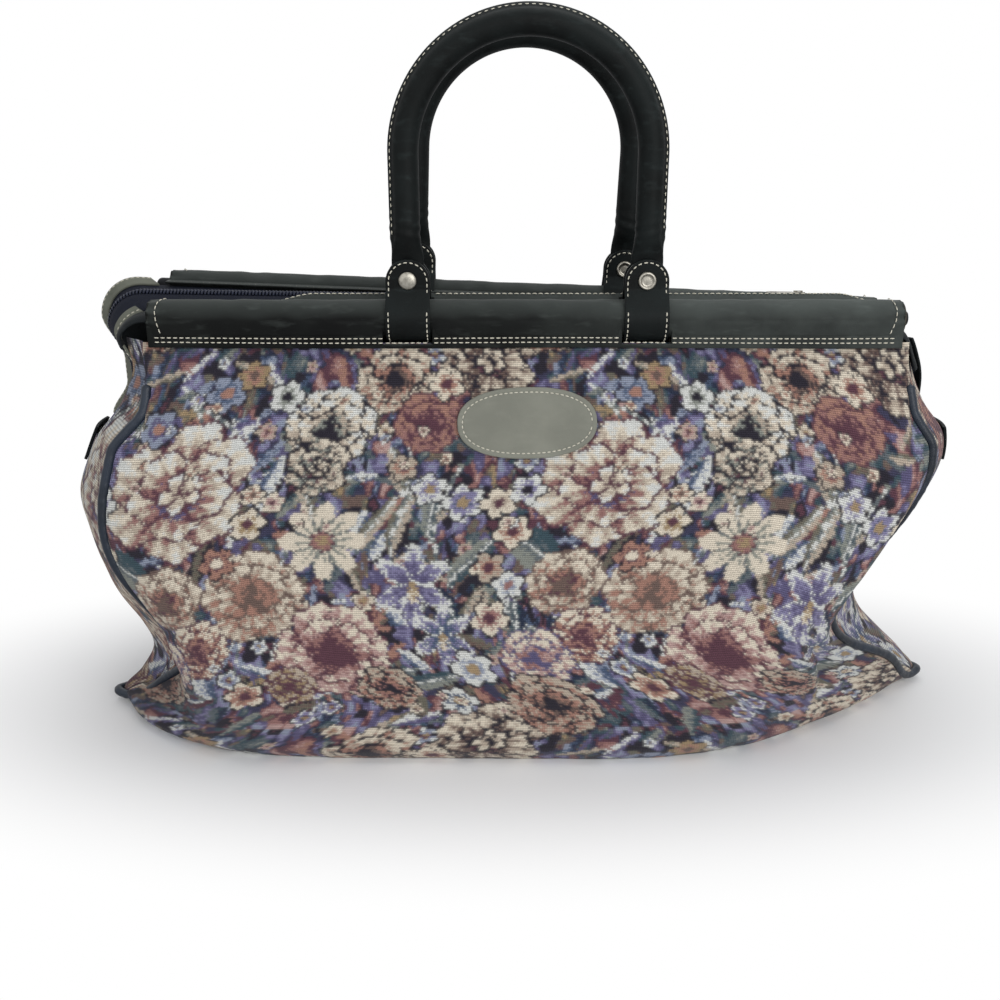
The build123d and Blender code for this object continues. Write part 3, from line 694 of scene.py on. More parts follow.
def clothWall(side, columns, rows, lip):
    s = np.linspace(0, 1, columns)
    heights = []
    for share in (0.0, .5, 1.0):
        line = np.array([(*onSurface(side, share, z), z) for z in np.linspace(clothTop, 0, 240)])
        heights.append(evenSteps(line, rows - lip)[:, 2])
    first, middle, last = heights
    a = smoothStep(0, .2, s)[None, :]
    b = smoothStep(0, .2, 1 - s)[None, :]
    z = middle[:, None] + (first - middle)[:, None] * (1 - a) + (last - middle)[:, None] * (1 - b)
    grid = np.concatenate([onSurface(side, np.broadcast_to(s, z.shape), z), z[..., None]], 2)
    under = []
    inward = 1 if side == "front" else -1
    for k in range(1, lip + 1):
        row = grid[-1].copy()
        row[:, 1] += inward * k * 1.5 * np.sin(np.pi * s)
        row[:, 0] -= np.sign(row[:, 0]) * k * 1.5 * (1 - np.sin(np.pi * s)) * .7
        row[:, 2] = .35
        under.append(row)
    return np.concatenate([grid, np.array(under)], 0)


def wallShare(z):
    return (z - body["widest"]) / (body["railSeam"] - body["widest"])


print("shaping the cloth")
frontGrid = clothWall("front", 372, 238, 8)
frontNormal = gridNormals(frontGrid)
frontNormal *= -np.sign(frontNormal[60, 180, 1])
frontGrid = creased(frontGrid, frontNormal)
frontGrid[..., 2] = np.maximum(frontGrid[..., 2], lowestCloth)
frontCloth = clothPiece("front_cloth", pinched(frontGrid), 8, 0)

backGrid = clothWall("back", 300, 190, 7)
tilt = body["backTilt"] * np.clip(wallShare(backGrid[..., 2]), 0, 1)
backGrid[..., 2] -= backGrid[..., 0] * np.sin(tilt)
backNormal = gridNormals(backGrid)
backNormal *= np.sign(backNormal[60, 150, 1])
backGrid = creased(backGrid, backNormal, .6)
backGrid[..., 2] = np.maximum(backGrid[..., 2], lowestCloth)
clothPiece("back_cloth", pinched(backGrid), 60, 0)

rim = np.array(tablePlans[0])
rimSteps, ringCount, baseCell = 400, 60, 1.5
rimLine = evenSteps(np.concatenate([
    splineThrough(rim[0:9], 200), splineThrough(rim[8:11], 60), splineThrough(rim[10:19], 200),
    splineThrough([rim[18], rim[19], rim[0]], 60),
]), rimSteps)
baseGrid = np.zeros((ringCount, rimSteps, 3))
for ring, share in zip(baseGrid, np.linspace(1, .02, ringCount)):
    ring[:, :2] = rimLine * (share * .992)
    bumps = smoothNoise(31, ring[:, 0] + 400, ring[:, 1] + 200, 30)
    ring[:, 2] = .32 + 1.2 * smoothStep(1, .8, share) * bumps
baseFaces = gridFaces(ringCount, rimSteps, closeColumns=True)
baseFaces.append(tuple(range((ringCount - 1) * rimSteps, ringCount * rimSteps)))
baseColumns = ((baseGrid[..., 0] + 330) / baseCell).astype(int)
baseRows = ((baseGrid[..., 1] + 120) / baseCell).astype(int)
baseMesh = makeMesh("base_cloth", baseGrid, baseFaces, tapestry).data
shades = np.ones((ringCount * rimSteps, 4), np.float32)
shades[:, :3] = draft[baseRows % loom["rows"], baseColumns % loom["columns"]].reshape(-1, 3)
attribute = baseMesh.color_attributes.new(name="threads", type="FLOAT_COLOR", domain="POINT")
attribute.data.foreach_set("color", shades.ravel())
layer = baseMesh.uv_layers.new(name="weave")
loopPoints = np.zeros(len(baseMesh.loops), int)
baseMesh.loops.foreach_get("vertex_index", loopPoints)
layer.data.foreach_set("uv", (baseGrid.reshape(-1, 3)[loopPoints, :2] / baseCell).astype(np.float32).ravel())


def gussetGrid(side, columns, rows):
    z = np.linspace(4, 284 if side == "left" else 274, rows)[::-1]
    grid = np.zeros((rows, columns, 3))
    near, mid, dense = int(columns * .3), int(columns * .4), 241
    for j, height in enumerate(z):
        line = onSurface(side, np.linspace(0, 1, dense), np.full(dense, height))
        order = line if line[0, 1] < line[-1, 1] else line[::-1]
        # the zip's slot is a stretch of columns of its own
        first, last = [np.interp(y, order[:, 1], np.arange(dense)) for y in (-29, 24)]
        spots = np.concatenate([
            np.linspace(0, first, near + 1)[:-1], np.linspace(first, last, mid + 1)[:-1],
            np.linspace(last, dense - 1, columns - near - mid),
        ])
        for k in range(2):
            grid[j, :, k] = np.interp(spots, np.arange(dense), order[:, k])
        grid[j, :, 2] = height
    outward = -1 if side == "left" else 1
    x, y, zz = grid[..., 0], grid[..., 1], grid[..., 2]
    fold = 1.8 * np.sin((zz - 40) * .05 + y * .03) * smoothStep(280, 230, zz)
    fold = fold + 1.8 * (smoothNoise(41, y + 300, zz, 22) - .5)
    across = np.linspace(0, 1, columns)
    edge = smoothStep(0, .12, across) * smoothStep(0, .12, 1 - across)
    x += outward * (fold - 1.2) * edge
    if side == "left":
        x -= 6 * (np.exp(-((y + 31) / 10)**2) * smoothStep(220, 242, zz) * (y < 0) * edge)
    keep = np.ones((rows - 1, columns - 1), bool)
    high = (z[:-1] + z[1:]) / 2 > 213
    keep[np.ix_(high, np.arange(near, near + mid))] = False
    return grid, keep


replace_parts(frontCloth, "body_panel")
for side, offset in (("left", 30), ("right", 120)):
    grid, keep = gussetGrid(side, 120, 180)
    piece = clothPiece(f"{side}_end_cloth", pinched(grid), offset, 6, keep=keep, flip=side == "left")
    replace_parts(piece, f"{side}_gusset")


def tube(line, radius, sides, wobble, seed):
    line = np.asarray(line, float)
    tangent = np.gradient(line, axis=0)
    tangent /= np.linalg.norm(tangent, axis=1, keepdims=True)
    up = np.array([0, 0, 1.0])
    sideways = np.cross(tangent, up)
    weak = np.linalg.norm(sideways, axis=1) < .2
    sideways[weak] = np.cross(tangent[weak], (1.0, 0, 0))
    for k in range(1, len(sideways)):
        carried = sideways[k - 1] - tangent[k] * np.dot(sideways[k - 1], tangent[k])
        sideways[k] = carried / max(np.linalg.norm(carried), 1e-9)
    other = np.cross(tangent, sideways)
    angle = np.linspace(0, 2 * np.pi, sides, endpoint=False)
    noise = smoothNoise(seed, np.arange(len(line))[:, None] * 2.0, angle[None, :] * 3, 3.1)
    r = radius + wobble * (noise - .5)
    grid = line[:, None, :] + sideways[:, None, :] * (r * np.cos(angle))[..., None]
    return grid + other[:, None, :] * (r * np.sin(angle))[..., None]


def closedTube(name, grid, material, riding="bag"):
    rows, columns = grid.shape[:2]
    faces = gridFaces(rows, columns, closeColumns=True)
    faces.append(tuple(range(columns))[::-1])
    faces.append(tuple(range((rows - 1) * columns, rows * columns)))
    return makeMesh(name, grid, faces, material, riding)


print("sewing the piping")
piping = {"radius": 3.3, "top": 258, "steps": 420}
for side, seamX, bulgeX, sign in (("left", 4, 2, -1), ("right", 14, 16, 1)):
    zs = np.linspace(piping["top"], 8, 120)
    rowsAt = levelRows(zs)
    front = np.stack([rowsAt[:, seamX], rowsAt[:, seamX + 1], zs], 1)
    back = front.copy()
    back[:, 1] = 2 * rowsAt[:, bulgeX + 1] - front[:, 1]
    corner = [[rowsAt[-1, bulgeX] + sign * 1.5, rowsAt[-1, bulgeX + 1], 8]]
    control = np.concatenate([front[::12], front[-1:], corner, back[::-1][:1], back[::-1][11::12]])
    line = splineThrough(control, piping["steps"])
    cord = tube(pinched(line), piping["radius"], 14, .5, 8)
    piece = closedTube(f"{side}_piping_cord", cord, leathers["piping"])
    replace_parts(piece, f"{side}_piping")


# rails
rails = {
    "front": {"y": -40, "z": 298, "side": -1, "tilt": 0.0, "tabs": (-76.5, 76.5), "ends": (-244.5, 242)},
    "back": {
        "y": 35, "z": 296.5, "side": 1, "tilt": body["backTilt"], "tabs": (-78, 69), "ends": (-249, 249),
    },
}
sleeve = {"radius": 12.45, "flangeLow": -17.5, "slit": 15.4, "stitchGap": 15.6, "thick": 2.0}


def toRail(points, rail):
    spec = rails[rail]
    p = np.array(points, float)
    p[..., 1] *= -spec["side"]
    c, s = math.cos(spec["tilt"]), math.sin(spec["tilt"])
    x = p[..., 0] * c + p[..., 2] * s
    z = -p[..., 0] * s + p[..., 2] * c
    return np.stack([x, p[..., 1] + spec["y"], z + spec["z"]], -1)


def railDirection(vectors, rail):
    vectors = np.array(vectors, float)
    return toRail(vectors, rail) - toRail(vectors * 0, rail)


def tongueLine(x, rail):
    # the back rail's tongue lies low all along
    lift = float(smoothStep(-175, -140, x)) * float(smoothStep(236, 205, x)) if rail == "front" else 0
    return ((10.2, 5.9), (13.5, 6.2 + 1.4 * lift), (17, 6.2 + 3.8 * lift), (20.4, 6.1 + 6.4 * lift))


def sheetPiece(name, middle, thickness, material, riding="bag", keep=None):
    faces = np.array(gridFaces(*middle.shape[:2]))
    if keep is not None:
        faces = faces[keep.ravel()]
    used, numbers = np.unique(faces, return_inverse=True)
    faces = numbers.reshape(-1, 4).tolist()
    piece = makeMesh(name, middle.reshape(-1, 3)[used], faces, material, riding)
    solid = piece.modifiers.new("thickness", "SOLIDIFY")
    solid.thickness = thickness * .001
    solid.offset = 0
    bevel = piece.modifiers.new("edge", "BEVEL")
    bevel.width = .0005
    bevel.segments = 2
    bevel.limit_method = "ANGLE"
    bevel.angle_limit = math.radians(50)
    return piece


def sampled(line, t, where):
    return np.array([np.interp(where, t, line[:, k]) for k in range(line.shape[1])])


class StitchRow:
    # along the stitch: share of its length, width and lift as shares of the thread's radius
    shape = ((0, .35, -.45), (.12, .8, -.05), (.5, 1, .25), (.88, .8, -.05), (1, .35, -.45))
    sides = 6

    def __init__(self):
        self.points = []
        self.faces = []

    def run(self, line, outward, length=2.9, gap=1.1, radius=.42):
        line = np.asarray(line, float)
        t = lengthsAlong(line)
        outward = np.broadcast_to(np.asarray(outward, float), line.shape)
        where = gap / 2
        while where + length < t[-1]:
            base = len(self.points)
            for share, wide, lift in self.shape:
                q = where + length * share
                c, n = sampled(line, t, q), sampled(outward, t, q)
                d = sampled(line, t, q + .3) - sampled(line, t, q - .3)
                d /= max(np.linalg.norm(d), 1e-9)
                n -= d * np.dot(n, d)
                n /= max(np.linalg.norm(n), 1e-9)
                w = np.cross(d, n)
                for k in range(self.sides):
                    a = k * math.pi / 3
                    rise = lift * radius * 1.6 + radius * wide * math.sin(a)
                    self.points.append(c + n * rise + w * radius * wide * math.cos(a))
            self.faces += gridFaces(len(self.shape), self.sides, True, base)
            self.faces.append(tuple(range(base + self.sides - 1, base - 1, -1)))
            self.faces.append(tuple(range(len(self.points) - self.sides, len(self.points))))
            where += length + gap

    def finish(self, name, slotName, riding="bag"):
        return makeMesh(name, self.points, self.faces, fibres["thread"], riding)


def rodPiece(leftEnd, rightEnd, rail):
    # the front rod shows at both ends of its sleeve, and its right end is rounded
    tip = rightEnd + np.array([-1.5, 1.0, 3.0, 4.4, 5.0])
    along = np.concatenate([[leftEnd + 3], np.linspace(leftEnd + 6, rightEnd - 4, 30), tip])
    thick = np.array([6.0] * 33 + [5.5, 4.2, 2.2])
    angles = np.linspace(0, 2 * np.pi, 24, endpoint=False)
    grid = np.stack([0 * angles, np.cos(angles), np.sin(angles)], 1)[None] * thick[:, None, None]
    grid[..., 0] += along[:, None]
    return closedTube("front_rod", toRail(grid, rail), metals["rod"])


print("making the rails")
around = 48
angles = np.linspace(0, 2 * np.pi, around, endpoint=False)
turn = np.degrees(angles)
down = np.clip((turn - 180) / 50, 0, 1)
tuck = np.clip((turn - 230) / 32, 0, 1)
for rail, spec in rails.items():
    leftEnd, rightEnd = spec["ends"]
    xs = np.linspace(leftEnd, rightEnd, 250)
    fromEnd = np.minimum(xs - leftEnd, rightEnd - xs)
    pinch = smoothStep(16, 0, fromEnd)[:, None]
    lumps = smoothNoise(51 if rail == "front" else 52, xs[:, None] + 300, angles[None, :] * 14, 9)
    calm = np.ones(len(xs))
    clear = np.ones(len(xs))
    for x in spec["tabs"]:
        calm *= 1 - np.exp(-((xs - x) / 20)**4)
        clear *= smoothStep(15.2, 18.5, np.abs(xs - x))
    clear *= smoothStep(0, 5, fromEnd)
    r = sleeve["radius"] - .7 * lumps * calm[:, None] - 1.1 * pinch * (.6 + .4 * np.sin(angles * 9)[None, :])
    grid = np.stack([np.broadcast_to(xs[:, None], r.shape), r * np.cos(angles), r * np.sin(angles)], -1)
    # outside the tabs the tube fairs down to the upper row of stitches
    fairY = (-12.45 + .35 * down) * (1 - tuck) + r * np.cos(angles) * tuck
    fairZ = -9.4 * down * (1 - tuck) + r * np.sin(angles) * tuck
    share = ((turn > 180) & (turn < 262)) * clear[:, None]
    grid[..., 1] += (fairY - grid[..., 1]) * share
    grid[..., 2] += (fairZ - grid[..., 2]) * share
    lip = np.array([
        np.stack([np.full(around, back), reach * np.cos(angles), reach * np.sin(angles)], 1)
        for reach, back in ((10.4, 9), (10.5, 1.2), (10.9, 0), (11.4, .4))
    ])
    whole = np.concatenate([lip + (leftEnd, 0, 0), grid, lip[::-1] * (-1, 1, 1) + (rightEnd, 0, 0)])
    faces = gridFaces(len(whole), around, closeColumns=True)
    piece = makeMesh(f"{rail}_rail_tube", toRail(whole, rail), faces, leathers["rail"])
    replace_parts(piece, f"{rail}_rail_sleeve")

    columns = np.linspace(leftEnd, rightEnd, 200)
    mids = (columns[1:] + columns[:-1]) / 2
    inSlit = np.any([np.abs(mids - x) < sleeve["slit"] for x in spec["tabs"]], axis=0)
    zs = np.linspace(-3, sleeve["flangeLow"] + .3, 12)
    wavy = smoothStep(-5, -17, zs)[:, None]
    flange = np.zeros((len(zs), len(columns), 3))
    flange[..., 0] = columns[None, :]
    flange[..., 1] = -10.75 + .25 * np.sin(columns * .05)[None, :] * wavy
    flange[..., 2] = zs[:, None] + .35 * np.sin(columns * .021 + 1)[None, :] * wavy
    keep = np.ones((len(zs) - 1, len(mids)), bool)
    keep[np.ix_((zs[1:] + zs[:-1]) / 2 > -14.1, inSlit)] = False
    sheetPiece(
        f"{rail}_rail_flange", toRail(flange, rail), sleeve["thick"], leathers["rail"],
        keep=keep,
    )
    tongue = np.array([[(x, *p) for p in tongueLine(x, rail)] for x in columns]).swapaxes(0, 1)
    keep = np.ones((3, len(mids)), bool)
    keep[np.ix_([0, 1], inSlit)] = False
    sheetPiece(f"{rail}_rail_tongue", toRail(tongue, rail), 1.5, leathers["rail"], keep=keep)

    stitches = StitchRow()
    out = railDirection((0, -1, 0), rail)
    up = railDirection((0, 0, 1), rail)
    dense = np.linspace(leftEnd + 4, rightEnd - 4, 400)
    atTab = [any(abs(d - x) < sleeve["stitchGap"] for x in spec["tabs"]) for d in dense]
    segments = np.split(dense, np.where(np.diff(atTab))[0] + 1)
    for z in (-10.6, -13.5):
        for segment in segments:
            ends = segment[[0, -1]]
            # the upper row stops at the slits
            if z > -12 and any(np.all(np.abs(ends - x) < sleeve["stitchGap"]) for x in spec["tabs"]):
                continue
            y = -11.85 + .25 * np.sin(segment * .05) * smoothStep(-5, -17, z)
            line = np.stack([segment, y, z + .35 * np.sin(segment * .021 + 1)], 1)
            stitches.run(toRail(line, rail), out)
    for segment in segments:
        edge = [tongueLine(x, rail)[3] for x in segment]
        line = np.array([(x, y - 1.5, z + .3) for x, (y, z) in zip(segment, edge)])
        stitches.run(toRail(line, rail), up * .8 + out * .6)
    for sign, end, inward in ((-1, leftEnd, (11, 6, 9.4)), (1, rightEnd, (8.2, 5.5, 9.6))):
        along = np.linspace(0, 1, 50)
        angle = np.radians(np.minimum(75 + 140 * along, 180))
        radius = sleeve["radius"] + .05
        drop = np.maximum(along - .75, 0) * 4 * 9.3
        inset = (inward[0], inward[1] + 1.3, inward[1], inward[1] + .9, inward[2])
        offset = np.interp(along, (0, .25, .5, .75, 1), inset)
        line = np.stack([end - sign * offset, radius * np.cos(angle), radius * np.sin(angle) - drop], 1)
        ring = np.stack([0 * angle, np.cos(angle), np.sin(angle)], 1)
        stitches.run(toRail(line, rail), railDirection(ring, rail), radius=.36)
    stitches.finish(f"{rail}_rail_stitches", "rail_leather")
    if rail == "front":
        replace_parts(rodPiece(leftEnd, rightEnd, rail), "front_rail_rod")



# tabs, rivets and handles
tab = {"width": 28.6, "top": 38.5, "inner": 12.8, "outer": 15.0, "throat": 19, "half": 3.0, "thick": 2.2}
grip = {"radius": 8.5, "leg": 102, "neck": 50, "foot": 20.5, "seam": 2.4}


def strapLine(radius, halfWidth, throat, top):
    spread = math.atan2(halfWidth, throat) + math.acos(radius / math.hypot(halfWidth, throat))
    angles = np.linspace(spread, 2 * math.pi - spread, 60)
    ring = [(radius * math.sin(a), radius * math.cos(a)) for a in angles]
    straight = [(halfWidth, z) for z in np.linspace(top, throat, 14)]
    other = [(-halfWidth, z) for z in np.linspace(throat, top, 14)]
    return np.array(straight + ring + other)


def strapPiece(name, x, rail, riding):
    radius = (tab["inner"] + tab["outer"]) / 2
    line = strapLine(radius, tab["half"] + tab["thick"] / 2, tab["throat"], tab["top"] - .2)
    line = evenSteps(line, 110)
    widths = np.linspace(-1, 1, 17)
    halfWidth = tab["width"] / 2 - .15
    middle = np.zeros((len(line), len(widths), 3))
    for row, (y, z) in zip(middle, line):
        over = max(z - (tab["top"] - halfWidth), 0)
        row[:, 0] = x + widths * math.sqrt(max(halfWidth**2 - over**2, 1.2))
        row[:, 1:] = y, z
    thickness = tab["thick"] - .1
    return sheetPiece(name, toRail(middle, rail), thickness, leathers["strap"], riding)


def lathe(name, x, z, profile, side, rail, riding):
    angles = np.linspace(0, 2 * np.pi, 32, endpoint=False)
    grid = np.array([
        [(x + r * math.cos(a), side * y, z + r * math.sin(a)) for a in angles] for r, y in profile
    ])
    faces = gridFaces(len(profile), len(angles), closeColumns=True)
    faces.append(tuple(range((len(profile) - 1) * len(angles), len(profile) * len(angles))))
    return makeMesh(name, toRail(grid, rail), faces, metals["nickel"], riding)


def arched(left, right, low, high, legSteps, archSteps):
    # x, z and turn up one leg, over the arch and down the other leg
    middle, reach = (left + right) / 2, (right - left) / 2
    up = [(left, z, 0.0) for z in np.linspace(low, high, legSteps)]
    turns = np.linspace(0, math.pi, archSteps)[1:-1]
    arch = [(middle - reach * math.cos(a), high + reach * math.sin(a), a) for a in turns]
    return up + arch + [(right, z, math.pi) for z in np.linspace(high, low, legSteps)]


def handleGrid(legs):
    sides = 40
    grid = []
    for x, z, turn in arched(*legs, grip["foot"], grip["leg"], 60, 120):
        flat = float(smoothStep(grip["neck"] + 4, tab["top"] - 2, z)) if turn in (0.0, math.pi) else 0.0
        ring = []
        for i in range(sides):
            a = 2 * math.pi * i / sides
            bulge = math.exp(-((abs(a - math.pi)) / .17)**2) * grip["seam"] * (1 - flat)
            wrinkle = .25 * math.sin(z * .9 + a * 2) * math.exp(-((z - 56) / 9)**2)
            rounded = (grip["radius"] + bulge + wrinkle) * (1 - flat)
            across = (rounded + tab["width"] * .36 * flat) * math.cos(a)
            deep = (rounded + 2.85 * flat) * math.sin(a)
            ring.append((x + across * math.cos(turn), deep, z - across * math.sin(turn)))
        grid.append(ring)
    return np.array(grid)


def legStitches(stitches, legs, rail):
    offset = grip["radius"] + .9
    path = arched(legs[0] - offset, legs[1] + offset, grip["neck"] + 3, grip["leg"], 40, 90)
    for y in (1.25, -1.25):
        line = toRail([(x, y, z) for x, z, _ in path], rail)
        stitches.run(line, railDirection((0, math.copysign(1, y), 0), rail), length=2.8, gap=1.3, radius=.4)


def plateStitches(stitches, x, rail):
    inset = 2.0
    w = tab["width"] / 2 - inset
    path = arched(x - w, x + w, 14.5, tab["top"] - inset - w, 20, 40)
    lower = np.linspace(math.radians(62), math.radians(165), 30)
    radius = tab["outer"] - .02
    for sign in (-1, 1):
        face = tab["half"] + tab["thick"] - .02
        level = [(px, sign * (face + max(tab["throat"] - pz, 0) * .62), pz) for px, pz, _ in path]
        stitches.run(toRail(level, rail), railDirection((0, sign, 0), rail), length=2.6, gap=1.2)
    for sign in (-1, 1):
        for edge in (-w, w):
            normal = np.stack([0 * lower, sign * np.sin(lower), np.cos(lower)], 1)
            ring = normal * radius + (x + edge, 0, 0)
            stitches.run(toRail(ring, rail), railDirection(normal, rail), length=2.6, gap=1.2)


print("making the handles")
seat = tab["half"] + tab["thick"]
capProfile, ringProfile = [[(r, seat + rise) for r, rise in profile] for profile in (
    ((5.8, 0), (5.8, .7), (5.4, 1.2), (4.4, 1.7), (3, 2.05), (1.6, 2.2), (.3, 2.25)),
    ((5.8, 0), (5.8, .9), (5.3, 1.45), (4.7, 1.6), (4.2, 1.4), (3.8, .8), (3.2, .4), (2.4, .5),
     (1.0, .55), (.3, .55)),
)]
# the side that each rivet's cap is on, seen from its own rail
caps = {"front": {"left": -1, "right": 1}, "back": {"left": -1, "right": -1}}
for rail, spec in rails.items():
    riding = f"{rail}_handle"
    grid = toRail(handleGrid(spec["tabs"]), rail)
    piece = closedTube(f"{rail}_handle_roll", grid, leathers["strap"], riding)
    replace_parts(piece, f"{rail}_handle", f"{rail}_handle_core")
    stitches = StitchRow()
    legStitches(stitches, spec["tabs"], rail)
    for end, x in zip(("left", "right"), spec["tabs"]):
        piece = strapPiece(f"{rail}_{end}_strap", x, rail, riding)
        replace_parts(piece, f"{rail}_{end}_tab")
        plateStitches(stitches, x, rail)
        capSide = caps[rail][end]
        cap = lathe(f"{rail}_{end}_rivet_cap", x, 25, capProfile, capSide, rail, riding)
        lathe(f"{rail}_{end}_rivet_ring", x, 25, ringProfile, -capSide, rail, riding)
        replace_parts(cap, f"{rail}_{end}_rivet")
    stitches.finish(f"{rail}_handle_stitches", "strap_leather", riding)


# zip: y, then the left end's x, top and bend radius, and the same for the right end
zipLines = np.array([
    (-24.5, -249, 300.6, 24, 216, 300.6, 52), (-8.5, -259, 308.0, 24, 196, 301.0, 62),
    (3.5, -259, 308.0, 24, 196, 301.0, 62), (19.5, -268, 310.5, 24, 190, 290.8, 64),
])
zipFoot = 217


def zipPath(y, rise, steps=None):
    flatFront, flatBack = zipLines[1][0], zipLines[2][0]
    v = zipLines[1]
    if y < flatFront or y > flatBack:
        pair = zipLines[:2] if y < flatFront else zipLines[2:]
        v = pair[0] + (pair[1] - pair[0]) * ((y - pair[0][0]) / (pair[1][0] - pair[0][0]))
    lx, lt, lr, rx, rt, rr = v[1:]
    leftBend = np.linspace(0, math.pi / 2, 16)[1:]
    rightBend = np.linspace(0, math.pi / 2, 20)
    line = [(lx - lr - rise, zipFoot), (lx - lr - rise, lt - lr)]
    line += [(lx - (lr + rise) * math.cos(a), lt - lr + (lr + rise) * math.sin(a)) for a in leftBend]
    line += [(rx + (rr + rise) * math.sin(a), rt - rr + (rr + rise) * math.cos(a)) for a in rightBend]
    line += [(rx + rr + rise, zipFoot)]
    return np.array(line) if steps is None else evenSteps(line, steps)


def zipBand(ys, rises, steps=360, path=None):
    grid = []
    for y, rise in zip(ys, rises):
        line = zipPath(y if path is None else path, rise, steps)
        grid.append(np.stack([line[:, 0], np.full(steps, y), line[:, 1]], 1))
    return pinched(grid, 5)


print("making the zip")
for side, ys in (("front", (-24.5, -20, -16, -12, -8.5, -3.9)), ("back", (-1.1, 3.5, 7, 11, 15, 19.5))):
    piece = sheetPiece(f"{side}_tape_cloth", zipBand(ys, [-.6] * 6), 1.1, fibres["tape"])
    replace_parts(piece, f"{side}_zip_tape")

coil = {"y": -2.5, "pitch": 2.3, "reach": 3.7, "thick": .74, "height": 2.0}


def coilSide(side, sign, shift):
    centre = zipPath(coil["y"], .25)
    t = lengthsAlong(centre)
    loop = (
        (coil["reach"] + .9, 0.0), (coil["reach"] + .4, .9), (1.6, coil["height"]),
        (-.5, coil["height"] - .15), (-1.0, .9), (-.5, .2),
    )
    sides = 6
    points = []
    faces = []
    where = shift + 3
    while where < t[-1] - 3:
        c = sampled(centre, t, where)
        d = sampled(centre, t, where + .5) - sampled(centre, t, where - .5)
        d /= np.linalg.norm(d)
        n = np.array([-d[1], d[0]])
        base = len(points)
        for k, (out, rise) in enumerate(loop):
            wide = coil["thick"] * (1.25 if k in (3, 4) else 1)
            for a in np.linspace(0, 2 * np.pi, sides, endpoint=False):
                px, pz = c + d * (wide * math.cos(a)) + n * (rise + .5 * math.sin(a))
                points.append((px, coil["y"] + sign * (out + .15 * math.sin(a)), pz))
        faces += gridFaces(len(loop), sides, True, base)
        faces.append(tuple(range(base, base + sides)))
        faces.append(tuple(range(len(points) - 1, len(points) - sides - 1, -1)))
        where += coil["pitch"]
    piece = makeMesh(f"{side}_coil", pinched(points, 5), faces, fibres["coil"])
    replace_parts(piece, f"{side}_zip_teeth")


coilSide("front", -1, 0)
coilSide("back", 1, coil["pitch"] / 2)

trimStitches = StitchRow()
for end, sign in (("left", -1), ("right", 1)):
    for rail, y0, row in (("front", -27.5, 1), ("back", 15.5, 4)):
        rises = [1.05 + .25 * math.sin(math.pi * k / 5) for k in range(6)]
        if end == "left" and rail == "back":
            rises = [1.0 + 2.6 * (k / 5)**1.5 for k in range(6)]
        full = zipBand(np.linspace(y0, y0 + 7, 6), rises, 500)
        chosen = np.all(sign * full[..., 0] > 251.3, axis=0)
        if end == "left" and rail == "front":
            chosen &= np.all(full[..., 2] > 258, axis=0)
        part = full[:, chosen]
        finish = leathers["trim"] if end == "left" else leathers["dark"]
        piece = sheetPiece(f"{end}_{rail}_binding", part, 1.7, finish)
        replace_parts(piece, f"{end}_{rail}_trim")
        d = np.gradient(part[row], axis=0)
        normal = np.stack([-d[:, 2], 0 * d[:, 0], d[:, 0]], 1)
        normal /= np.linalg.norm(normal, axis=1, keepdims=True)
        trimStitches.run(part[row] + normal, normal, length=2.6, gap=1.2, radius=.4)
trimStitches.finish("binding_stitches", "trim_leather")

for end, sign, low in (("left", -1, 276), ("right", 1, 262)):
    rises = (-5.0, -2.8, -1.8, -1.3, -1.0, -.9, -.9)
    full = zipBand(np.linspace(-41, -25, 7), rises, 500, zipLines[0][0])
    part = full[:, np.all(sign * full[..., 0] > 236, axis=0) & np.all(full[..., 2] > low, axis=0)]
    # painted shade: a dark sheet between the rail's end and the front binding stands in for the shade in that
    # gap
    sheetPiece(f"{end}_end_gap_shade", part, 1.2, leathers["dark"])
    # painted shade: a dark sheet fills the inside of the mouth's corner, seen between the binding and the
    # rail, where the bag's inside lies in shade
    arc = zipPath(zipLines[0][0], -2.4, 500)
    arc = arc[(sign * arc[:, 0] > 234) & (arc[:, 1] > 258)]
    corner = []
    for t in np.linspace(0, 1, 9):
        x = arc[:, 0] * (1 - t) + sign * 236 * t
        z = arc[:, 1] * (1 - t) + 259 * t
        corner.append(np.stack([x, np.full(len(arc), -27.5 + 3 * math.sin(math.pi * t)), z], 1))
    sheetPiece(f"{end}_mouth_corner_shade", pinched(corner, 7), .9, leathers["dark"])

# leather tabs over the zip's feet, lying on the end cloth
for end, outward in (("left", -1), ("right", 1)):
    ys = np.linspace(-16.5, 11.5, 12)
    plate = []
    for z in np.linspace(194, 217.5, 10):
        line = onSurface(end, np.linspace(0, 1, 121), np.full(121, z))
        line = line[np.argsort(line[:, 1])]
        xs = np.interp(ys, line[:, 1], line[:, 0])
        plate.append(np.stack([xs + outward * 1.9, ys, np.full(len(ys), z)], 1))
    piece = sheetPiece(f"{end}_foot_tab", pinched(plate), 2.2, leathers["dark"])
    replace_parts(piece, f"{end}_end_tab")

# oval patch
patch = {"length": 90, "height": 46, "power": 2.35, "lean": math.atan2(.36, 1), "turn": math.radians(1.2)}
patchCentre = np.array([0, -69.9, 236])
patchNormal = np.array([0, -math.cos(patch["lean"]), math.sin(patch["lean"])])
patchUp = np.array([0, math.sin(patch["lean"]), math.cos(patch["lean"])])


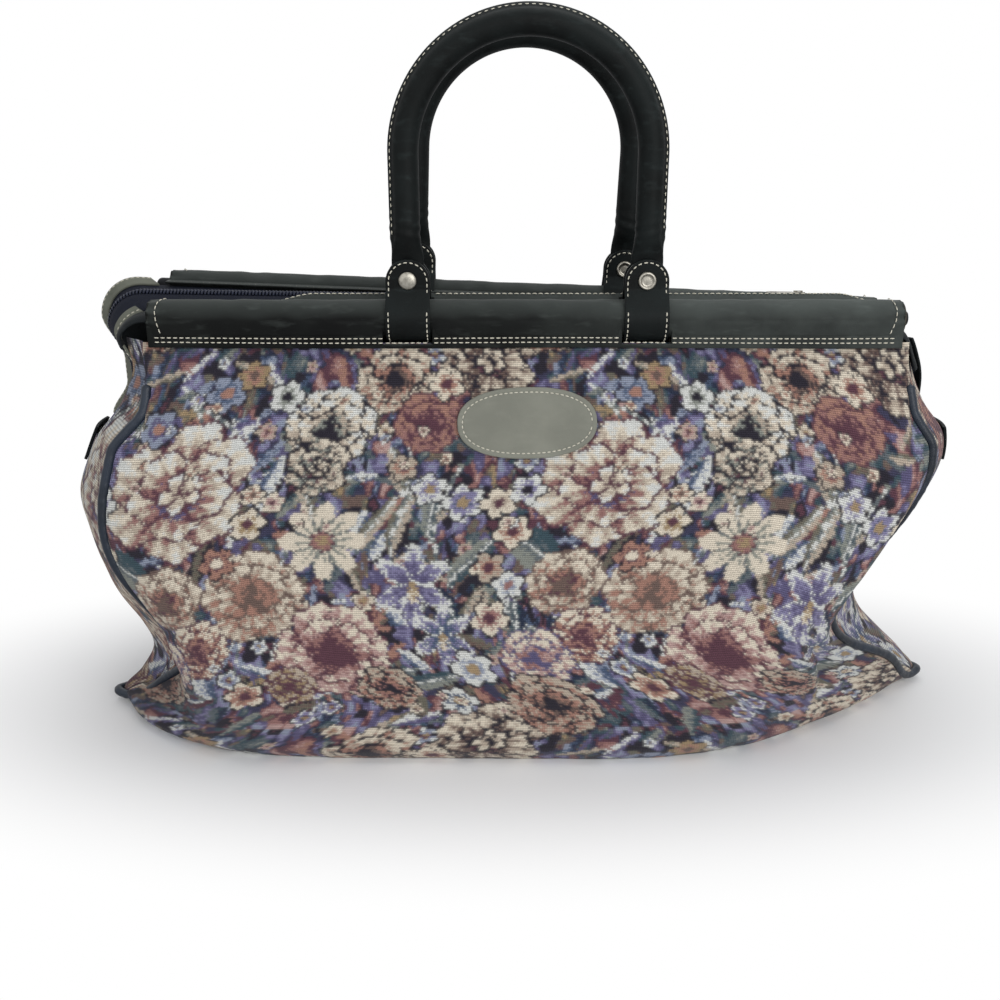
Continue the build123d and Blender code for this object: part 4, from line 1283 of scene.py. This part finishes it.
def patchRing(inset, rise):
    ring = []
    for a in np.linspace(0, 2 * np.pi, 96, endpoint=False):
        c, s = math.cos(a), math.sin(a)
        x = math.copysign(abs(c)**(2 / patch["power"]), c) * (patch["length"] / 2 - inset)
        y = math.copysign(abs(s)**(2 / patch["power"]), s) * (patch["height"] / 2 - inset)
        u = x * math.cos(patch["turn"]) - y * math.sin(patch["turn"])
        v = x * math.sin(patch["turn"]) + y * math.cos(patch["turn"])
        curl = .5 * (u / 45)**2
        ring.append(patchCentre + (u, 0, 0) + patchUp * v + patchNormal * (rise - curl))
    return ring


patchGrid = np.array([patchRing(inset, rise) for inset, rise in (
    (.3, -.5), (0, 0), (0, 1.6), (.25, 2.0), (.7, 2.2), (2.9, 2.25), (3.3, 1.95), (3.8, 2.2), (8, 2.3),
    (14, 2.3), (20, 2.3),
)])
rows, columns = patchGrid.shape[:2]
faces = gridFaces(rows, columns, closeColumns=True)
faces.append(tuple(range((rows - 1) * columns, rows * columns)))
faces.append(tuple(range(columns - 1, -1, -1)))
patchPiece = makeMesh("oval_patch", patchGrid, faces, leathers["patch"])
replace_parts(patchPiece, "leather_patch")
stitches = StitchRow()
seamRing = patchRing(3.3, 2.05)
stitches.run(seamRing + seamRing[:1], patchNormal, length=2.3, gap=1.0, radius=.4)
stitches.finish("patch_stitches", "patch_leather")

# finishes for CAD pieces that are shown as they are
for name, material in (
    ("back_rail_rod", metals["rod"]), ("front_rail_padding", fibres["core"]),
    ("back_rail_padding", fibres["core"]), ("zip_slider", metals["nickel"]), ("zip_pull", metals["nickel"]),
):
    nodes[name].data.materials.clear()
    nodes[name].data.materials.append(material)

# stage
print("setting the stage")
white = (1, 1, 1, 1)
floorMesh = bpy.data.meshes.new("floor")
floorMesh.from_pydata([(-6, -6, 0), (6, -6, 0), (6, 6, 0), (-6, 6, 0)], [], [(0, 1, 2, 3)])
floor = placed("floor", floorMesh)
floorMaterial, tree, shader = newMaterial("paleFloor")
shader.inputs["Base Color"].default_value = (.86, .86, .86, 1)
shader.inputs["Roughness"].default_value = .9
# the floor fades to white away from the bag, in an ellipse
squeeze = addNode(tree, "ShaderNodeMapping", [(0, objectCoord(tree))])
squeeze.inputs["Scale"].default_value = (1, 2.2, 1)
distance = addNode(tree, "ShaderNodeVectorMath", [(0, squeeze.outputs[0])], operation="LENGTH")
fade = rangeNode(tree, distance.outputs["Value"], .26, .56)
fade.node.interpolation_type = "SMOOTHSTEP"
glow = addNode(tree, "ShaderNodeEmission", in_0=white, in_1=1.0)
ray = addNode(tree, "ShaderNodeLightPath")
share = mathNode(tree, "MULTIPLY", fade, ray.outputs["Is Camera Ray"])
blendOut = addNode(tree, "ShaderNodeMixShader", [(0, share), (1, shader.outputs[0]), (2, glow.outputs[0])])
tree.links.new(blendOut.outputs[0], tree.nodes["Material Output"].inputs[0])
floorMesh.materials.append(floorMaterial)
for name, where, aim, size, power in (
    ("key", (1.0, -2.0, 1.05), (0, 0, .12), 1.7, 36), ("fill", (-1.2, -1.7, 1.0), (0, 0, .15), 1.8, 9),
    ("top", (.2, .3, 2.1), (0, 0, .1), 2.2, 17),
):
    data = bpy.data.lights.new(name, "AREA")
    data.size = size
    data.energy = power
    light = placed(name, data)
    light.location = where
    x, y, z = np.array(aim) - np.array(where)
    light.rotation_euler = (math.atan2(math.hypot(x, y), -z), 0, math.atan2(-x, y))
world = bpy.data.worlds.new("studio")
bpy.context.scene.world = world
world.use_nodes = True
tree = world.node_tree
dim = tree.nodes["Background"]
dim.inputs[0].default_value = (.82, .84, .88, 1)
dim.inputs[1].default_value = .36
bright = addNode(tree, "ShaderNodeBackground", in_0=white, in_1=1.0)
kinds = addNode(tree, "ShaderNodeLightPath").outputs
mirrored = mathNode(tree, "MAXIMUM", kinds["Is Glossy Ray"], kinds["Is Transmission Ray"])
seen = mathNode(tree, "MAXIMUM", kinds["Is Camera Ray"], mirrored)
mixer = addNode(tree, "ShaderNodeMixShader", [(0, seen), (1, dim.outputs[0]), (2, bright.outputs[0])])
tree.links.new(mixer.outputs[0], tree.nodes["World Output"].inputs[0])
bpy.context.scene.view_settings.view_transform = "Standard"
cameraData = bpy.data.cameras.new("camera")
cameraData.lens = 41.4
cameraData.sensor_width = 36
camera = placed("camera", cameraData)
camera.location = (-.0175, -.7824, .4426)
camera.rotation_euler = (math.radians(70), 0, 0)
bpy.context.scene.camera = camera
